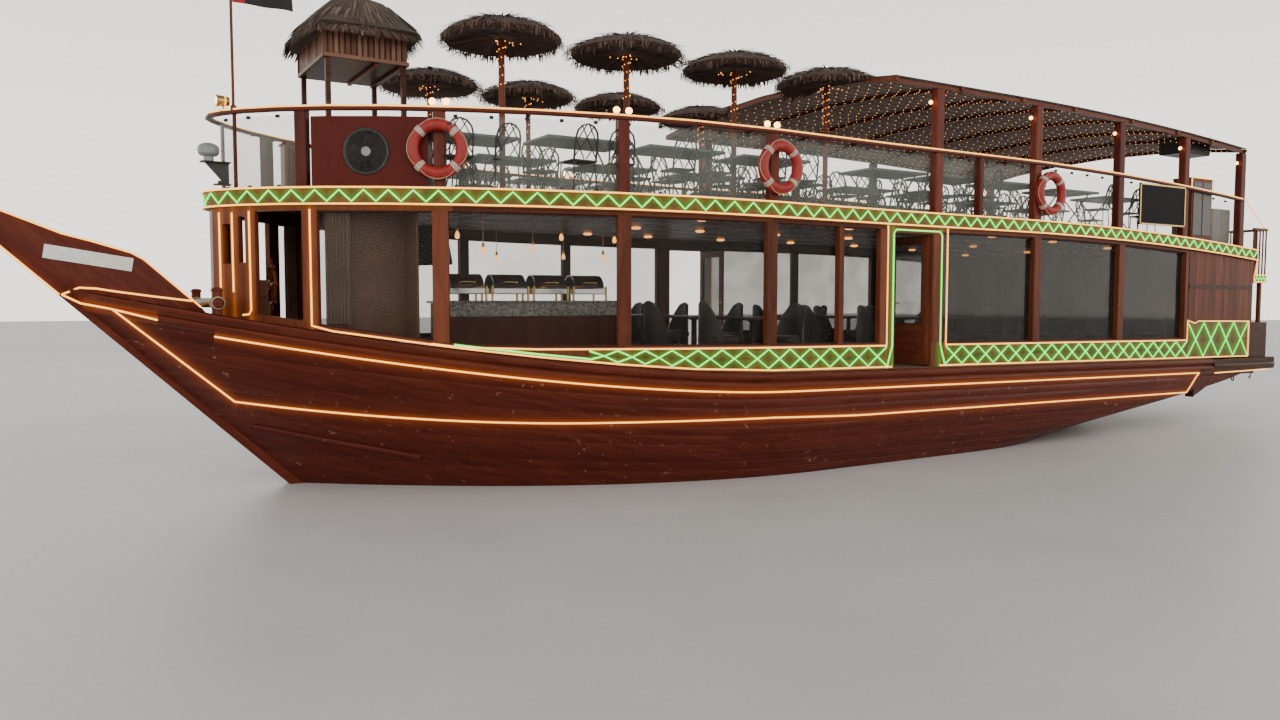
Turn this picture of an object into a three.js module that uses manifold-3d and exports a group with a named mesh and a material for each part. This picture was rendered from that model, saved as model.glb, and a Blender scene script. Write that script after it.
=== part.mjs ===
import * as THREE from "three";
import { mergeVertices } from "three/addons/utils/BufferGeometryUtils.js";
import Module from "manifold-3d";

const wasm = await Module();
wasm.setup();

// Driving dimensions in millimetres: X forward, Y to port, Z up from the waterline.
const gap = 0.3; // between pieces that touch
const draught = 1500;
const hullHalf = 3300; // half the beam at the deck
const stemFoot = 7790; // where the stem line meets the waterline
const stemRake = 1.02; // forward run of the stem for each unit of height
const sternFoot = -8050; // face of the sternpost
const sternReach = -11350; // furthest aft point of the planking
const houseHalf = 3150; // half the width of the deckhouse
const houseBend = 2000; // where the house sides start to round in
const houseNose = 8800; // foremost point of the house
const houseAft = -10850;
const wallThick = 80;
const fasciaHeight = 230;
const railHeight = 975;
const canopyRise = 2020; // canopy edge over the upper deck
const canopyCrown = 250;
const canopyFront = -300;
const canopyAft = -10420;
const sternPlatform = { front: -9100, aft: -11560, low: 1060, high: 1300, half: 3290 };

const clamp = (v, low, high) => Math.min(Math.max(v, low), high);
const mix = (a, b, t) => a + (b - a) * t;
const smooth = (a, b, v) => {
  const t = clamp((v - a) / (b - a), 0, 1);
  return t * t * (3 - 2 * t);
};

// Joins and cuts of closed geometries.
function toSolid(geometry) {
  const bare = geometry.clone();
  bare.deleteAttribute("normal");
  bare.deleteAttribute("uv");
  const merged = mergeVertices(bare, 1e-3);
  return new wasm.Manifold(
    new wasm.Mesh({
      numProp: 3,
      vertProperties: new Float32Array(merged.attributes.position.array),
      triVerts: new Uint32Array(merged.index.array),
    }),
  );
}

function toGeometry(solid) {
  const mesh = solid.getMesh();
  const geometry = new THREE.BufferGeometry();
  geometry.setAttribute("position", new THREE.BufferAttribute(new Float32Array(mesh.vertProperties), 3));
  geometry.setIndex(new THREE.BufferAttribute(new Uint32Array(mesh.triVerts), 1));
  return geometry;
}

const join = (...geometries) =>
  toGeometry(geometries.map(toSolid).reduce((whole, piece) => whole.add(piece)));

const cut = (geometry, ...tools) =>
  toGeometry(tools.map(toSolid).reduce((whole, tool) => whole.subtract(tool), toSolid(geometry)));

// A closed skin over rings of points. Each ring holds the same even count, its second half the
// way back past the first, so that the ends close like a ladder and mirrored halves match.
function loft(rings) {
  const count = rings[0].length;
  const half = count / 2;
  const positions = rings.flat().flatMap((p) => [p[0], p[1], p[2]]);
  const index = [];
  for (let i = 0; i + 1 < rings.length; i++) {
    for (let j = 0; j < count; j++) {
      const a = i * count + j;
      const b = i * count + ((j + 1) % count);
      if (j < half) index.push(a, b, b + count, a, b + count, a + count);
      else index.push(a, b, a + count, b, b + count, a + count);
    }
  }
  const last = (rings.length - 1) * count;
  for (let j = 0; j + 1 < half; j++) {
    const [a, b, c, d] = [j, j + 1, count - 2 - j, count - 1 - j];
    index.push(a, c, b, a, d, c);
    index.push(last + a, last + b, last + c, last + a, last + c, last + d);
  }
  let volume = 0;
  const at = (k) => new THREE.Vector3(...positions.slice(3 * k, 3 * k + 3));
  for (let k = 0; k < index.length; k += 3) {
    volume += at(index[k]).dot(at(index[k + 1]).cross(at(index[k + 2])));
  }
  if (volume < 0) index.reverse();
  const geometry = new THREE.BufferGeometry();
  geometry.setAttribute("position", new THREE.Float32BufferAttribute(positions, 3));
  geometry.setIndex(index);
  return geometry;
}

// The same skin pushed out along its corners' normals, to cut a neighbour with clearance.
function grown(geometry, distance) {
  const bare = geometry.clone();
  bare.deleteAttribute("normal");
  bare.deleteAttribute("uv");
  const merged = mergeVertices(bare, 1e-3);
  merged.computeVertexNormals();
  const { position, normal } = merged.attributes;
  for (let k = 0; k < position.count; k++) {
    position.setXYZ(
      k,
      position.getX(k) + normal.getX(k) * distance,
      position.getY(k) + normal.getY(k) * distance,
      position.getZ(k) + normal.getZ(k) * distance,
    );
  }
  return merged;
}

// A block between two corners.
function block(x0, x1, y0, y1, z0, z1) {
  const box = new THREE.BoxGeometry(x1 - x0, y1 - y0, z1 - z0);
  return box.translate((x0 + x1) / 2, (y0 + y1) / 2, (z0 + z1) / 2);
}

// An upright round bar.
function upright(x, y, z0, z1, radius, sides = 10) {
  const bar = new THREE.CylinderGeometry(radius, radius, z1 - z0, sides);
  return bar.rotateX(Math.PI / 2).translate(x, y, (z0 + z1) / 2);
}

// A square bar carried along points; its sides stay level and upright.
function bar(points, width, height) {
  const rings = points.map((p, i) => {
    const before = points[Math.max(i - 1, 0)];
    const after = points[Math.min(i + 1, points.length - 1)];
    const along = new THREE.Vector3(after[0] - before[0], after[1] - before[1], after[2] - before[2]);
    const side = new THREE.Vector3(along.y, -along.x, 0).normalize();
    if (side.lengthSq() < 0.5) side.set(0, 1, 0);
    const up = new THREE.Vector3().crossVectors(side, along.normalize()).normalize();
    const corner = (s, u) => [
      p[0] + (side.x * s * width + up.x * u * height) / 2,
      p[1] + (side.y * s * width + up.y * u * height) / 2,
      p[2] + (side.z * s * width + up.z * u * height) / 2,
    ];
    return [corner(-1, -1), corner(1, -1), corner(1, 1), corner(-1, 1)];
  });
  return loft(rings);
}

// A flat outline in X and Z, made `width` thick across Y.
function profile(points, width, y = 0) {
  const shape = new THREE.Shape(points.map(([x, z]) => new THREE.Vector2(x, z)));
  const plate = new THREE.ExtrudeGeometry(shape, { depth: width, bevelEnabled: false });
  return plate.rotateX(Math.PI / 2).translate(0, y + width / 2, 0);
}

// Hull form.
const sheer = (x) => 1472 + 0.0145 * x + 1000 * Math.max(0, (x - 2000) / 8300) ** 1.7;
const stemX = (z) => stemFoot + stemRake * z - (z < 0 ? 0.0003 * z * z : 0);
const sternX = (z) => sternFoot + (sternReach - sternFoot) * clamp((z + 300) / 1450, 0, 1) ** 1.4;

function halfBreadth(x, z) {
  const depth = clamp((1450 - z) / 2950, 0, 1);
  const section = hullHalf * (1 - (depth * 0.98) ** 3) ** 0.6;
  const entry = clamp((x - 1000) / (stemX(z) - 1000), 0, 1);
  const fullness = smooth(-200, 1200, z);
  const runStart = mix(-2000, -10700, fullness);
  const run = clamp((runStart - x) / (runStart - sternX(z)), 0, 1);
  const bow = (1 - entry ** 2) ** (0.8 + 0.45 * depth);
  const stern = (1 - run ** mix(1.8, 2.4, fullness)) ** mix(1, 0.45, fullness);
  return Math.max(60, section * bow * stern);
}

// The planked body with its flat deck. Grown a little, it cuts its neighbours with clearance.
function hullBody(grow = 0) {
  const stations = [0, 0.003, 0.01, 0.022, 0.04, 0.07, 0.12, 0.18, 0.26, 0.36, 0.46, 0.54, 0.6];
  stations.push(0.66, 0.72, 0.78, 0.83, 0.88, 0.92, 0.96, 0.985, 1);
  const levels = [0, 0.05, 0.12, 0.2, 0.3, 0.42, 0.54, 0.66, 0.78, 0.89, 1];
  const rings = stations.map((station) => {
    const side = levels.map((level) => {
      let x = mix(sternFoot, stemFoot, station);
      let z = 0;
      for (let pass = 0; pass < 12; pass++) {
        z = mix(-draught, sheer(x), level);
        x = mix(sternX(z), stemX(z), station);
      }
      const top = level === 1;
      const push = grow * (2 * station - 1) * (top ? 2.5 : 1);
      return [x + push, halfBreadth(x, z) + grow, top ? z + grow : z - grow];
    });
    return [...side, ...side.map(([x, y, z]) => [x, -y, z]).reverse()];
  });
  return loft(rings);
}

// Plan of the deckhouse: straight sides and a rounded front, as a line walked from the nose.
const noseY = [120, 350, 650, 1000, 1400, 1800, 2200, 2550, 2850, 3050, houseHalf];
const houseX = (y) => houseBend + (houseNose - houseBend) * (1 - (y / houseHalf) ** (1 / 0.65)) ** (1 / 1.8);
const sideKnots = 11;
const plan = [
  ...noseY.map((y) => [houseX(y), y]),
  ...Array.from({ length: sideKnots }, (_, k) => [
    mix(houseBend, houseAft, (k + 1) / sideKnots),
    houseHalf,
  ]),
];
const walked = plan.reduce((list, [x, y], i) => {
  const step = i ? Math.hypot(x - plan[i - 1][0], y - plan[i - 1][1]) : y;
  return [...list, (list[i - 1] ?? 0) + step];
}, []);
const houseEnd = walked.at(-1);

// A value that runs straight between the plan's corners, so that pieces stacked on each other match.
function onPlan(line) {
  return (x) => {
    const i = clamp(
      plan.findIndex(([px]) => px <= x),
      1,
      plan.length - 1,
    );
    const [x0] = plan[i - 1];
    const [x1] = plan[i];
    return mix(line(x0), line(x1), clamp((x - x0) / (x1 - x0), -9, 9));
  };
}

const deckTop = onPlan((x) => 3852 + 0.0055 * Math.max(x, 0) - 5e-6 * Math.max(0, -3000 - x) ** 2);
const headLine = (x) => deckTop(x) - fasciaHeight;
const deckThick = 110;
const wallTop = (x) => deckTop(x) - deckThick + 30; // inside the deck, which then cuts it
const railTop = (x) => deckTop(x) + railHeight;
const canopyEdge = (x) => deckTop(x) + canopyRise;
const sillLine = onPlan((x) => Math.max(sheer(x) + 15, 1800 + 0.012 * x));

// Distance along the plan from the nose to the place abeam of x, port side.
function alongAt(x) {
  const i = clamp(
    plan.findIndex(([px]) => px <= x),
    1,
    plan.length - 1,
  );
  const t = (x - plan[i - 1][0]) / (plan[i][0] - plan[i - 1][0]);
  return mix(walked[i - 1], walked[i], t);
}

// Corner of the plan at distance s, pushed out by `out`; negative s is the starboard side.
function planPoint(s, out = 0) {
  const d = Math.abs(s);
  const i = clamp(
    walked.findIndex((w) => w >= d),
    0,
    walked.length - 1,
  );
  const place = (k) => plan[clamp(k, 0, plan.length - 1)];
  const start = i === 0 ? [plan[0][0], 0] : plan[i - 1];
  const from = i === 0 ? 0 : walked[i - 1];
  const t = clamp((d - from) / (walked[i] - from), 0, 1);
  const p = [mix(start[0], plan[i][0], t), mix(start[1], plan[i][1], t)];
  const direction = (a, b) => Math.atan2(b[1] - a[1], b[0] - a[0]);
  const here = i === 0 ? Math.PI / 2 : direction(plan[i - 1], plan[i]);
  const next = i >= plan.length - 1 ? here : direction(place(i), place(i + 1));
  const last = i === 0 ? here : i === 1 ? Math.PI / 2 : direction(place(i - 2), place(i - 1));
  let heading = here;
  if (t > 0.999) heading = (here + next) / 2;
  else if (t < 0.001) heading = (here + last) / 2;
  const miter = 1 / Math.max(0.5, Math.cos(heading - here));
  const nx = Math.sin(heading) * miter;
  const ny = -Math.cos(heading) * miter;
  const sign = s < 0 ? -1 : 1;
  return { x: p[0] + nx * out, y: sign * (p[1] + ny * out), at: p[0], heading: heading * sign };
}

// A section carried along the plan from s0 to s1; each of its corners is [offset, height line].
function moulding(s0, s1, section) {
  const knots = [...walked.map((w) => -w), ...walked].filter((w) => w > s0 + 1 && w < s1 - 1);
  const stops = [s0, ...knots.sort((a, b) => a - b), s1];
  return loft(
    stops.map((s) =>
      section.map(([out, line]) => {
        const p = planPoint(s, out);
        return [p.x, p.y, line(p.at)];
      }),
    ),
  );
}

// A strip that follows the plan from s0 to s1, between two offsets and two height lines.
function band(s0, s1, inner, outer, low, high) {
  return moulding(s0, s1, [
    [inner, low],
    [outer, low],
    [outer, high],
    [inner, high],
  ]);
}

const sideBand = (x0, x1, ...rest) => band(alongAt(x0), alongAt(x1), ...rest);

// A raised strip on the plan through stops given as [distance, height], for the light ropes.
function planRope(stops, face) {
  const half = 10;
  const rings = stops.map(([s, z], i) => {
    const [s0, z0] = stops[Math.max(i - 1, 0)];
    const [s1, z1] = stops[Math.min(i + 1, stops.length - 1)];
    const slant = Math.atan2(z1 - z0, s1 - s0);
    const corner = (side, out) => {
      const p = planPoint(s - side * half * Math.sin(slant), out);
      return [p.x, p.y, z + side * half * Math.cos(slant)];
    };
    return [corner(-1, face - 8), corner(-0.6, face + 20), corner(0.6, face + 20), corner(1, face - 8)];
  });
  return loft(rings);
}

// A rope that swings between two height lines, `count` strokes from s0 to s1.
function planZigzag(s0, s1, count, low, high, face, phase = 0) {
  const stops = Array.from({ length: count + 1 }, (_, k) => {
    const s = mix(s0, s1, k / count);
    const line = (k + phase) % 2 ? high : low;
    return [s, line(planPoint(s).at)];
  });
  return planRope(stops, face);
}

// A square post on the plan, its middle `inset` inside the line, on either side.
function planPost(x, side, width, depth, inset, z0, z1) {
  const p = planPoint(side * alongAt(x), -inset);
  const post = new THREE.BoxGeometry(depth, width, z1 - z0);
  return post.rotateZ(p.heading - (side * Math.PI) / 2).translate(p.x, p.y, (z0 + z1) / 2);
}

// Materials.
const paint = (color, roughness = 0.5, metalness = 0) =>
  new THREE.MeshStandardMaterial({ color, roughness, metalness });
const wood = paint(0x6e2f1a, 0.35);
const darkWood = paint(0x3a1a12, 0.45);
const hullPaint = paint(0x7a2614, 0.3);
const glassClear = paint(0x8fa0a0, 0.05);
const thatch = paint(0x4a382b, 0.95);
const bronze = paint(0xa08040, 0.3, 1);
const steel = paint(0x8a8d90, 0.3, 1);
const white = paint(0xe8e6e0, 0.5);
const ringRed = paint(0xb03028, 0.5);
const lampOrange = paint(0xffc060, 0.4);
const netBrown = paint(0x6a5038, 0.9);
const black = paint(0x181818, 0.6);

const boat = new THREE.Group();
function add(name, geometry, material) {
  const mesh = new THREE.Mesh(geometry, material);
  mesh.name = name;
  boat.add(mesh);
  return mesh;
}

// A port piece and its mirror image to starboard.
function addPair(name, geometry, material) {
  add(name + "_port", geometry, material);
  add(name + "_starboard", geometry, material).scale.y = -1;
}

// Hull, keel, stem and what hangs from them.
const shaftZ = -850;
const rudderX = -9100;
const trunkLow = 260;
const keelDepth = 190;
const keelEnd = 5200;

function makeHull() {
  const room = block(-12000, sternPlatform.front, -4000, 4000, sternPlatform.low, 3000);
  const trunk = upright(rudderX, 0, trunkLow, 900, 110, 16);
  return join(cut(hullBody(), room), trunk);
}

const clearance = 0.8; // how far a cutting copy is grown, which leaves the gap on every slope
const hullTool = hullBody(clearance);

function makeKeel() {
  const keel = block(-8000, keelEnd, -100, 100, -draught - keelDepth, -draught + 120);
  const sole = block(-9300, -7900, -90, 90, -draught - keelDepth, -draught - 60);
  const post = block(sternFoot - 70, sternFoot + 400, -90, 90, -draught - 100, -250);
  const boss = new THREE.CylinderGeometry(120, 120, 160, 14).rotateZ(Math.PI / 2);
  boss.translate(sternFoot - 50, 0, shaftZ);
  return cut(join(keel, sole, post, boss), hullTool);
}

// Stem timber and its raised head, one board on the centreline.
const headTop = [
  [11700, 3960],
  [11420, 3745],
  [11050, 3560],
  [10440, 3310],
  [10120, 3225],
  [9710, 3100],
  [9570, 3020],
  [8930, 2420],
];

const stemThick = 150;
function stemBoard(thick) {
  const foot = -draught - keelDepth;
  const face = [foot, -1100, -600, 0, 700, 1500, 2400, 3200, 3880].map((z) => [stemX(z) + 95, z]);
  const inside = [
    [8300, 1600],
    [7000, 200],
    [keelEnd + gap, -1380],
    [keelEnd + gap, foot],
  ];
  return profile([...face, ...headTop, ...inside], thick);
}

const makeStem = () => cut(stemBoard(stemThick), hullTool);
const stemTool = stemBoard(stemThick + 2 * clearance);

const plate = { x0: 9690, x1: 10640, z: 3010, tilt: 0.16, height: 165, thick: 12 };
function makeNamePlate() {
  const slab = new THREE.BoxGeometry(plate.x1 - plate.x0, plate.thick, plate.height);
  const y = stemThick / 2 + gap + plate.thick / 2;
  return slab.rotateY(-plate.tilt).translate((plate.x0 + plate.x1) / 2, y, plate.z);
}

// A strake that hugs the hull between two height lines and stands `proud` of it.
function strake(xs, low, high, proud) {
  const rings = xs.map((x) => {
    const [a, b] = [low(x), high(x)];
    return [
      [x, halfBreadth(x, a) - 25, a],
      [x, halfBreadth(x, a) + proud, a],
      [x, halfBreadth(x, b) + proud, b],
      [x, halfBreadth(x, b) - 25, b],
    ];
  });
  return loft(rings);
}

const waleXs = [10250, 9900, 9400, 8800, 8000, 7000, 6000, 5000, 4000, 2500, 500, -2000, -5000, -9090];
const waleLow = (x) => sheer(x) - 250;
const waleHigh = (x) => sheer(x) - 10;
const makeWale = () => cut(strake(waleXs, waleLow, waleHigh, 55), hullTool, stemTool);

// Light rope round the hull side: down the bow, aft low, up the quarter and forward high.
const lightSize = 24;
const highLight = (x) => sheer(x) - 275;
const lowRise = (x) => 40 * clamp((x - 500) / 1500, 0, 1) + 260 * Math.max(0, (x - 4600) / 4020) ** 2;
const lowLight = (x) => 700 + 0.012 * (x + 8400) + lowRise(x);

function hullRope(stops) {
  const rings = stops.map(([x, z], i) => {
    const before = stops[Math.max(i - 1, 0)];
    const after = stops[Math.min(i + 1, stops.length - 1)];
    const slant = Math.atan2(after[1] - before[1], after[0] - before[0]);
    const [ax, az] = [(-Math.sin(slant) * lightSize) / 2, (Math.cos(slant) * lightSize) / 2];
    const y = (dx, dz) => halfBreadth(x + dx, z + dz);
    return [
      [x - ax, y(-ax, -az) - 20, z - az],
      [x - ax, y(-ax, -az) + lightSize, z - az],
      [x + ax, y(ax, az) + lightSize, z + az],
      [x + ax, y(ax, az) - 20, z + az],
    ];
  });
  return loft(rings);
}

// Points from a to b with about `step` between them, the last one left out.
function walk([ax, az], [bx, bz], step) {
  const count = Math.ceil(Math.abs(bx - ax) / step);
  return Array.from({ length: count }, (_, k) => [mix(ax, bx, k / count), mix(az, bz, k / count)]);
}

function makeHullLights() {
  const bowTop = [10230, highLight(10230)];
  const bowTurn = [9780, highLight(9780)];
  const bowFoot = [8617, lowLight(8617)];
  const onLine = (line) => (point) => [point[0], line(point[0])];
  const stops = [
    ...walk(bowTop, bowTurn, 110),
    ...walk(bowTurn, bowFoot, 200),
    ...walk([8617, 0], [2000, 0], 450).map(onLine(lowLight)),
    ...walk([2000, 0], [-8240, 0], 1300).map(onLine(lowLight)),
    [-8240, lowLight(-8240)],
    ...walk([-8600, 0], [2000, 0], 1300).map(onLine(highLight)),
    ...walk([2000, 0], [8900, 0], 450).map(onLine(highLight)),
    [8900, highLight(8900)],
  ];
  return cut(hullRope(stops), hullTool, stemTool);
}

function makeRudder() {
  const blade = profile(
    [
      [rudderX - 60, 150],
      [rudderX - 60, -1480],
      [rudderX - 820, -1480],
      [rudderX - 900, -700],
      [rudderX - 760, 120],
    ],
    70,
  );
  const stock = upright(rudderX, 0, -draught - 60 + gap, trunkLow - gap, 62, 14);
  return join(blade, stock, block(rudderX - 90, rudderX, -35, 35, -1400, 100));
}

// Three broad blades on a hub, with the shaft's end against the boss.
function makePropeller() {
  const face = sternFoot - 130 - gap;
  const hub = new THREE.CylinderGeometry(85, 60, 230, 14).rotateZ(Math.PI / 2).translate(face - 115, 0, 0);
  const blades = [0, 1, 2].map((k) => {
    const outline = new THREE.Shape();
    outline.moveTo(-60, 40);
    outline.quadraticCurveTo(-230, 330, -60, 520);
    outline.quadraticCurveTo(60, 560, 120, 470);
    outline.quadraticCurveTo(210, 300, 60, 40);
    const blade = new THREE.ExtrudeGeometry(outline, { depth: 18, bevelEnabled: false, curveSegments: 5 });
    blade.translate(0, 0, -9).rotateY(0.95).rotateX(Math.PI / 2 + (k * 2 * Math.PI) / 3);
    return blade.translate(face - 115, 0, 0);
  });
  return join(hub, ...blades).translate(0, 0, shaftZ);
}

// Upper deck, which cuts what reaches up to it or stands on its slope.
const makeUpperDeck = () =>
  loft(
    plan.map((_, i) => {
      const p = planPoint(walked[i], 18);
      const top = deckTop(p.at);
      return [
        [p.x, p.y, top],
        [p.x, -p.y, top],
        [p.x, -p.y, top - deckThick],
        [p.x, p.y, top - deckThick],
      ];
    }),
  );
const deckTool = grown(makeUpperDeck(), clearance);

// Deckhouse walls: a ring on the plan with its windows and doorways cut through.
const doorway = { fore: -360, aft: -1180, low: 15, high: 100 };
const sideWindows = [
  { fore: 7745, aft: 6530 },
  { fore: 6350, aft: 4330 },
  { fore: 4150, aft: 2120 },
  { fore: 1940, aft: 790 },
  { fore: 690, aft: -40 },
  { fore: -1420, aft: -3660 },
  { fore: -3840, aft: -6090 },
  { fore: -6270, aft: -8290 },
];
const sillOver = (x) => sillLine(x) + 45;
const headUnder = (x) => headLine(x) - 60;
const frontEdge = 7830; // the wheelhouse front starts here
const openRange = { inner: -300, outer: 200 };
const underPlatform = block(-12500, sternPlatform.front + 5, -4000, 4000, 0, sternPlatform.high + gap);

// Light ropes on the side wall: crossed strokes under the windows, the lines over and under them,
// a tall panel at the stern and the frames of the doorway and of the wheelhouse.
const lattice = { fore: 4700, doorFore: -190, doorAft: -1500, tallFore: -8410, tallAft: -10720, tall: 2070, pitch: 385 };
const footLight = (x) => sheer(x) + 18;
const sillLight = (x) => sillLine(x) + 12;

function wallRope(points) {
  return planRope(points.map(([x, z]) => [alongAt(x), z]), 0);
}

function ropeLine(x0, x1, line) {
  const [s0, s1] = [alongAt(x0), alongAt(x1)];
  const knots = walked.filter((w) => w > s0 + 1 && w < s1 - 1);
  return planRope([s0, ...knots, s1].map((s) => [s, line(planPoint(s).at)]), 0);
}

function makeWallRopes() {
  const { fore, doorFore, doorAft, tallFore, tallAft, tall, pitch } = lattice;
  const crossed = (x0, x1, high, cells) => {
    const [s0, s1] = [alongAt(x0), alongAt(x1)];
    const count = cells ?? Math.round((s1 - s0) / pitch);
    const [low, top] = [(x) => footLight(x) + 23, (x) => high(x) - 23];
    return [0, 1].map((phase) => planZigzag(s0, s1, count, low, top, 0, phase));
  };
  return [
    ...crossed(fore, doorFore, sillLight),
    ...crossed(doorAft, tallFore, sillLight),
    ...crossed(tallFore - 30, tallAft + 30, () => tall, 4),
    ropeLine(6550, doorFore, sillLight),
    ropeLine(doorAft, tallFore, sillLight),
    ropeLine(6550, doorFore, footLight),
    ropeLine(doorAft, tallAft, footLight),
    wallRope([[7812, 3610], [7812, 2180], [7600, footLight(7600)], [6550, footLight(6550)]]),
    wallRope([[-310, 1500], [-310, 3520], [-355, 3565], [-1325, 3565], [-1370, 3520], [-1370, 1500]]),
    wallRope([[tallFore, sillLight(tallFore)], [tallFore, tall], [tallAft, tall], [tallAft, footLight(tallAft)]]),
  ];
}

function makeSideWall() {
  const plain = sideBand(frontEdge, houseAft + 1, -wallThick, 0, (x) => sheer(x) - 40, wallTop);
  const wall = join(plain, ...makeWallRopes());
  const windows = sideWindows.map((w) =>
    sideBand(w.fore, w.aft, openRange.inner, openRange.outer, sillOver, headUnder),
  );
  const door = sideBand(
    doorway.fore,
    doorway.aft,
    openRange.inner,
    openRange.outer,
    (x) => sheer(x) - 200,
    (x) => headLine(x) - doorway.high,
  );
  return cut(wall, hullTool, deckTool, underPlatform, ...windows, door);
}

function makeFrontWall() {
  const end = alongAt(frontEdge) - gap;
  const wall = band(-end, end, -wallThick, 0, (x) => sheer(x) - 60, wallTop);
  const openings = [1, -1].flatMap((side) => {
    const arc = (x0, x1, low, high) => {
      const [a, b] = [side * alongAt(x0), side * alongAt(x1)];
      return band(Math.min(a, b), Math.max(a, b), openRange.inner, openRange.outer, low, high);
    };
    return [
      arc(8370, 7900, (x) => sheer(x) + 90, headUnder),
      arc(8535, 8470, () => 2970, () => 3550),
      arc(8688, 8612, () => 2960, () => 3465),
    ];
  });
  const ropes = [1, -1].flatMap((side) =>
    [[8420, 2330], [8585, 2600], [8705, 2620]].map(([x, foot]) => {
      const s = side * alongAt(x);
      return planRope([[s, foot], [s, 3610]], 0);
    }),
  );
  return cut(join(wall, ...ropes), hullTool, deckTool, ...openings);
}

function makeAftWall() {
  const half = houseHalf - wallThick - gap;
  const wall = block(houseAft, houseAft + wallThick, -half, half, sternPlatform.high + gap, wallTop(houseAft));
  const door = block(houseAft - 200, houseAft + 300, -2150, -1250, sternPlatform.high - 100, 3150);
  const windows = [
    [300, 1500],
    [1700, 2700],
  ].map(([y0, y1]) => block(houseAft - 200, houseAft + 300, y0, y1, 2050, 3100));
  return cut(wall, deckTool, door, ...windows);
}

// Panes lie against the inner face of the walls.
const pane = { outer: -wallThick - gap, inner: -wallThick - gap - 10 };
const makePane = (x0, x1) =>
  sideBand(x0, x1, pane.inner, pane.outer, (x) => sillLine(x) + 10, (x) => headLine(x) - 20);

// Door leaves on a hinge barrel against the doorway's aft jamb, stored open, inwards.
const barrel = 9;
const leaf = { width: 800, thick: 40, low: 1482, stile: 110, panelLow: 650 };
const hinge = { x: doorway.aft + barrel + gap, y: houseHalf - wallThick + 15 };
function makeDoor() {
  const high = headLine(hinge.x) - doorway.high - 15;
  const [y0, y1] = [hinge.y - leaf.width, hinge.y - 5];
  const slab = block(hinge.x, hinge.x + leaf.thick, y0, y1, leaf.low, high);
  const light = block(-9999, 9999, y0 + leaf.stile, y1 - leaf.stile, leaf.low + leaf.panelLow, high - 130);
  return join(cut(slab, light), upright(hinge.x, hinge.y, leaf.low, high, barrel, 12));
}

// Edge board of the upper deck with its zigzag of light rope, and the landing at the stern.
const edge = { inner: 18 + gap, outer: 60, bead: 14, beadHigh: 28 };
const zigzagStroke = 150;
function makeFascia() {
  const { inner, outer, bead, beadHigh } = edge;
  const top = (x) => deckTop(x) - gap;
  const boards = moulding(-houseEnd, houseEnd, [
    [inner, headLine],
    [outer + bead, headLine],
    [outer + bead, (x) => headLine(x) + beadHigh],
    [outer, (x) => headLine(x) + beadHigh],
    [outer, (x) => top(x) - beadHigh],
    [outer + bead, (x) => top(x) - beadHigh],
    [outer + bead, top],
    [inner, top],
  ]);
  const strokes = Math.floor((2 * houseEnd) / zigzagStroke);
  const [low, high] = [(x) => headLine(x) + 45, (x) => deckTop(x) - 45];
  return join(boards, planZigzag(20 - houseEnd, houseEnd - 20, strokes, low, high, outer));
}

const landing = { fore: -10870, aft: -11390, port: 3150, inboard: 900, top: 3030, thick: 170 };
function makeLanding() {
  const { fore, aft, port, inboard, top, thick } = landing;
  const slab = block(aft, fore, inboard, port, top - thick, top);
  const corner = (x, y) => block(x - 35, x + 35, y - 35, y + 35, sternPlatform.high + gap, top - 10);
  const posts = [corner(aft + 35, port - 120), corner(aft + 35, inboard + 35)];
  const rail = block(aft, fore, port - 60, port, top + 920, top + 970);
  const aftRail = block(aft, aft + 50, inboard, port, top + 920, top + 970);
  const spacing = 125;
  const sideBars = Array.from({ length: 5 }, (_, k) =>
    block(aft + k * spacing, aft + k * spacing + 24, port - 42, port - 18, top - 20, top + 940),
  );
  const aftBars = Array.from({ length: 9 }, (_, k) =>
    block(aft + 12, aft + 36, inboard + 2 * k * spacing, inboard + 2 * k * spacing + 24, top - 20, top + 940),
  );
  const steps = 7;
  const rise = (top - sternPlatform.high) / (steps + 1);
  const treads = Array.from({ length: steps }, (_, k) => {
    const z = top - (k + 1) * rise;
    const y = inboard - k * 270;
    return block(aft + 45, fore - 10, y - 290, y + 5, z - 45, z);
  });
  const slope = [
    [aft + 30, inboard + 40, top - 120],
    [aft + 30, inboard - steps * 270 - 40, sternPlatform.high + 90],
  ];
  const stringer = (x) => bar(slope.map(([, y, z]) => [x, y, z]), 44, 190);
  return join(
    slab,
    ...posts,
    rail,
    aftRail,
    ...sideBars,
    ...aftBars,
    ...treads,
    stringer(aft + 40),
    stringer(fore - 30),
  );
}

function makeSternPlatform() {
  const { front, aft, low, high, half } = sternPlatform;
  const slab = block(aft, front - gap, -half, half, low + gap, high);
  const top = 2030;
  const side = (s) => block(-11400, houseAft - 10, s * 3110 - 40, s * 3110 + 40, high - 20, top);
  const end = block(-11480, -11400, -3150, 3150, high - 20, top);
  const nearEnd = (s) => block(-11410, -11390, s * 3110 - 40, s * 3110 + 40, high - 20, top);
  return join(slab, side(1), side(-1), end, nearEnd(1), nearEnd(-1));
}

// Railing of the upper deck in three lengths: capping rail, its posts and the canopy's posts.
const bowPosts = [7900, 6440, 4240];
const shortPosts = [1990, -2300];
const railScarf = 2600; // where the bow's rail meets the sides'
const tallPosts = [-1310, -3740, -6120, -8250, -10330];
const postSize = 170;
const roofThick = 30;
const beamHigh = 60;
const sideBeam = { inner: 3030, outer: 3120, drop: 14 };

const railFoot = (x) => deckTop(x) - 20;
const cappingRail = (s0, s1) => band(s0, s1, -60, 20, (x) => railTop(x) - 45, railTop);
const railPost = (x, side, width) => planPost(x, side, width, 130, 65, railFoot(x), railTop(x) - 20);

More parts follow.
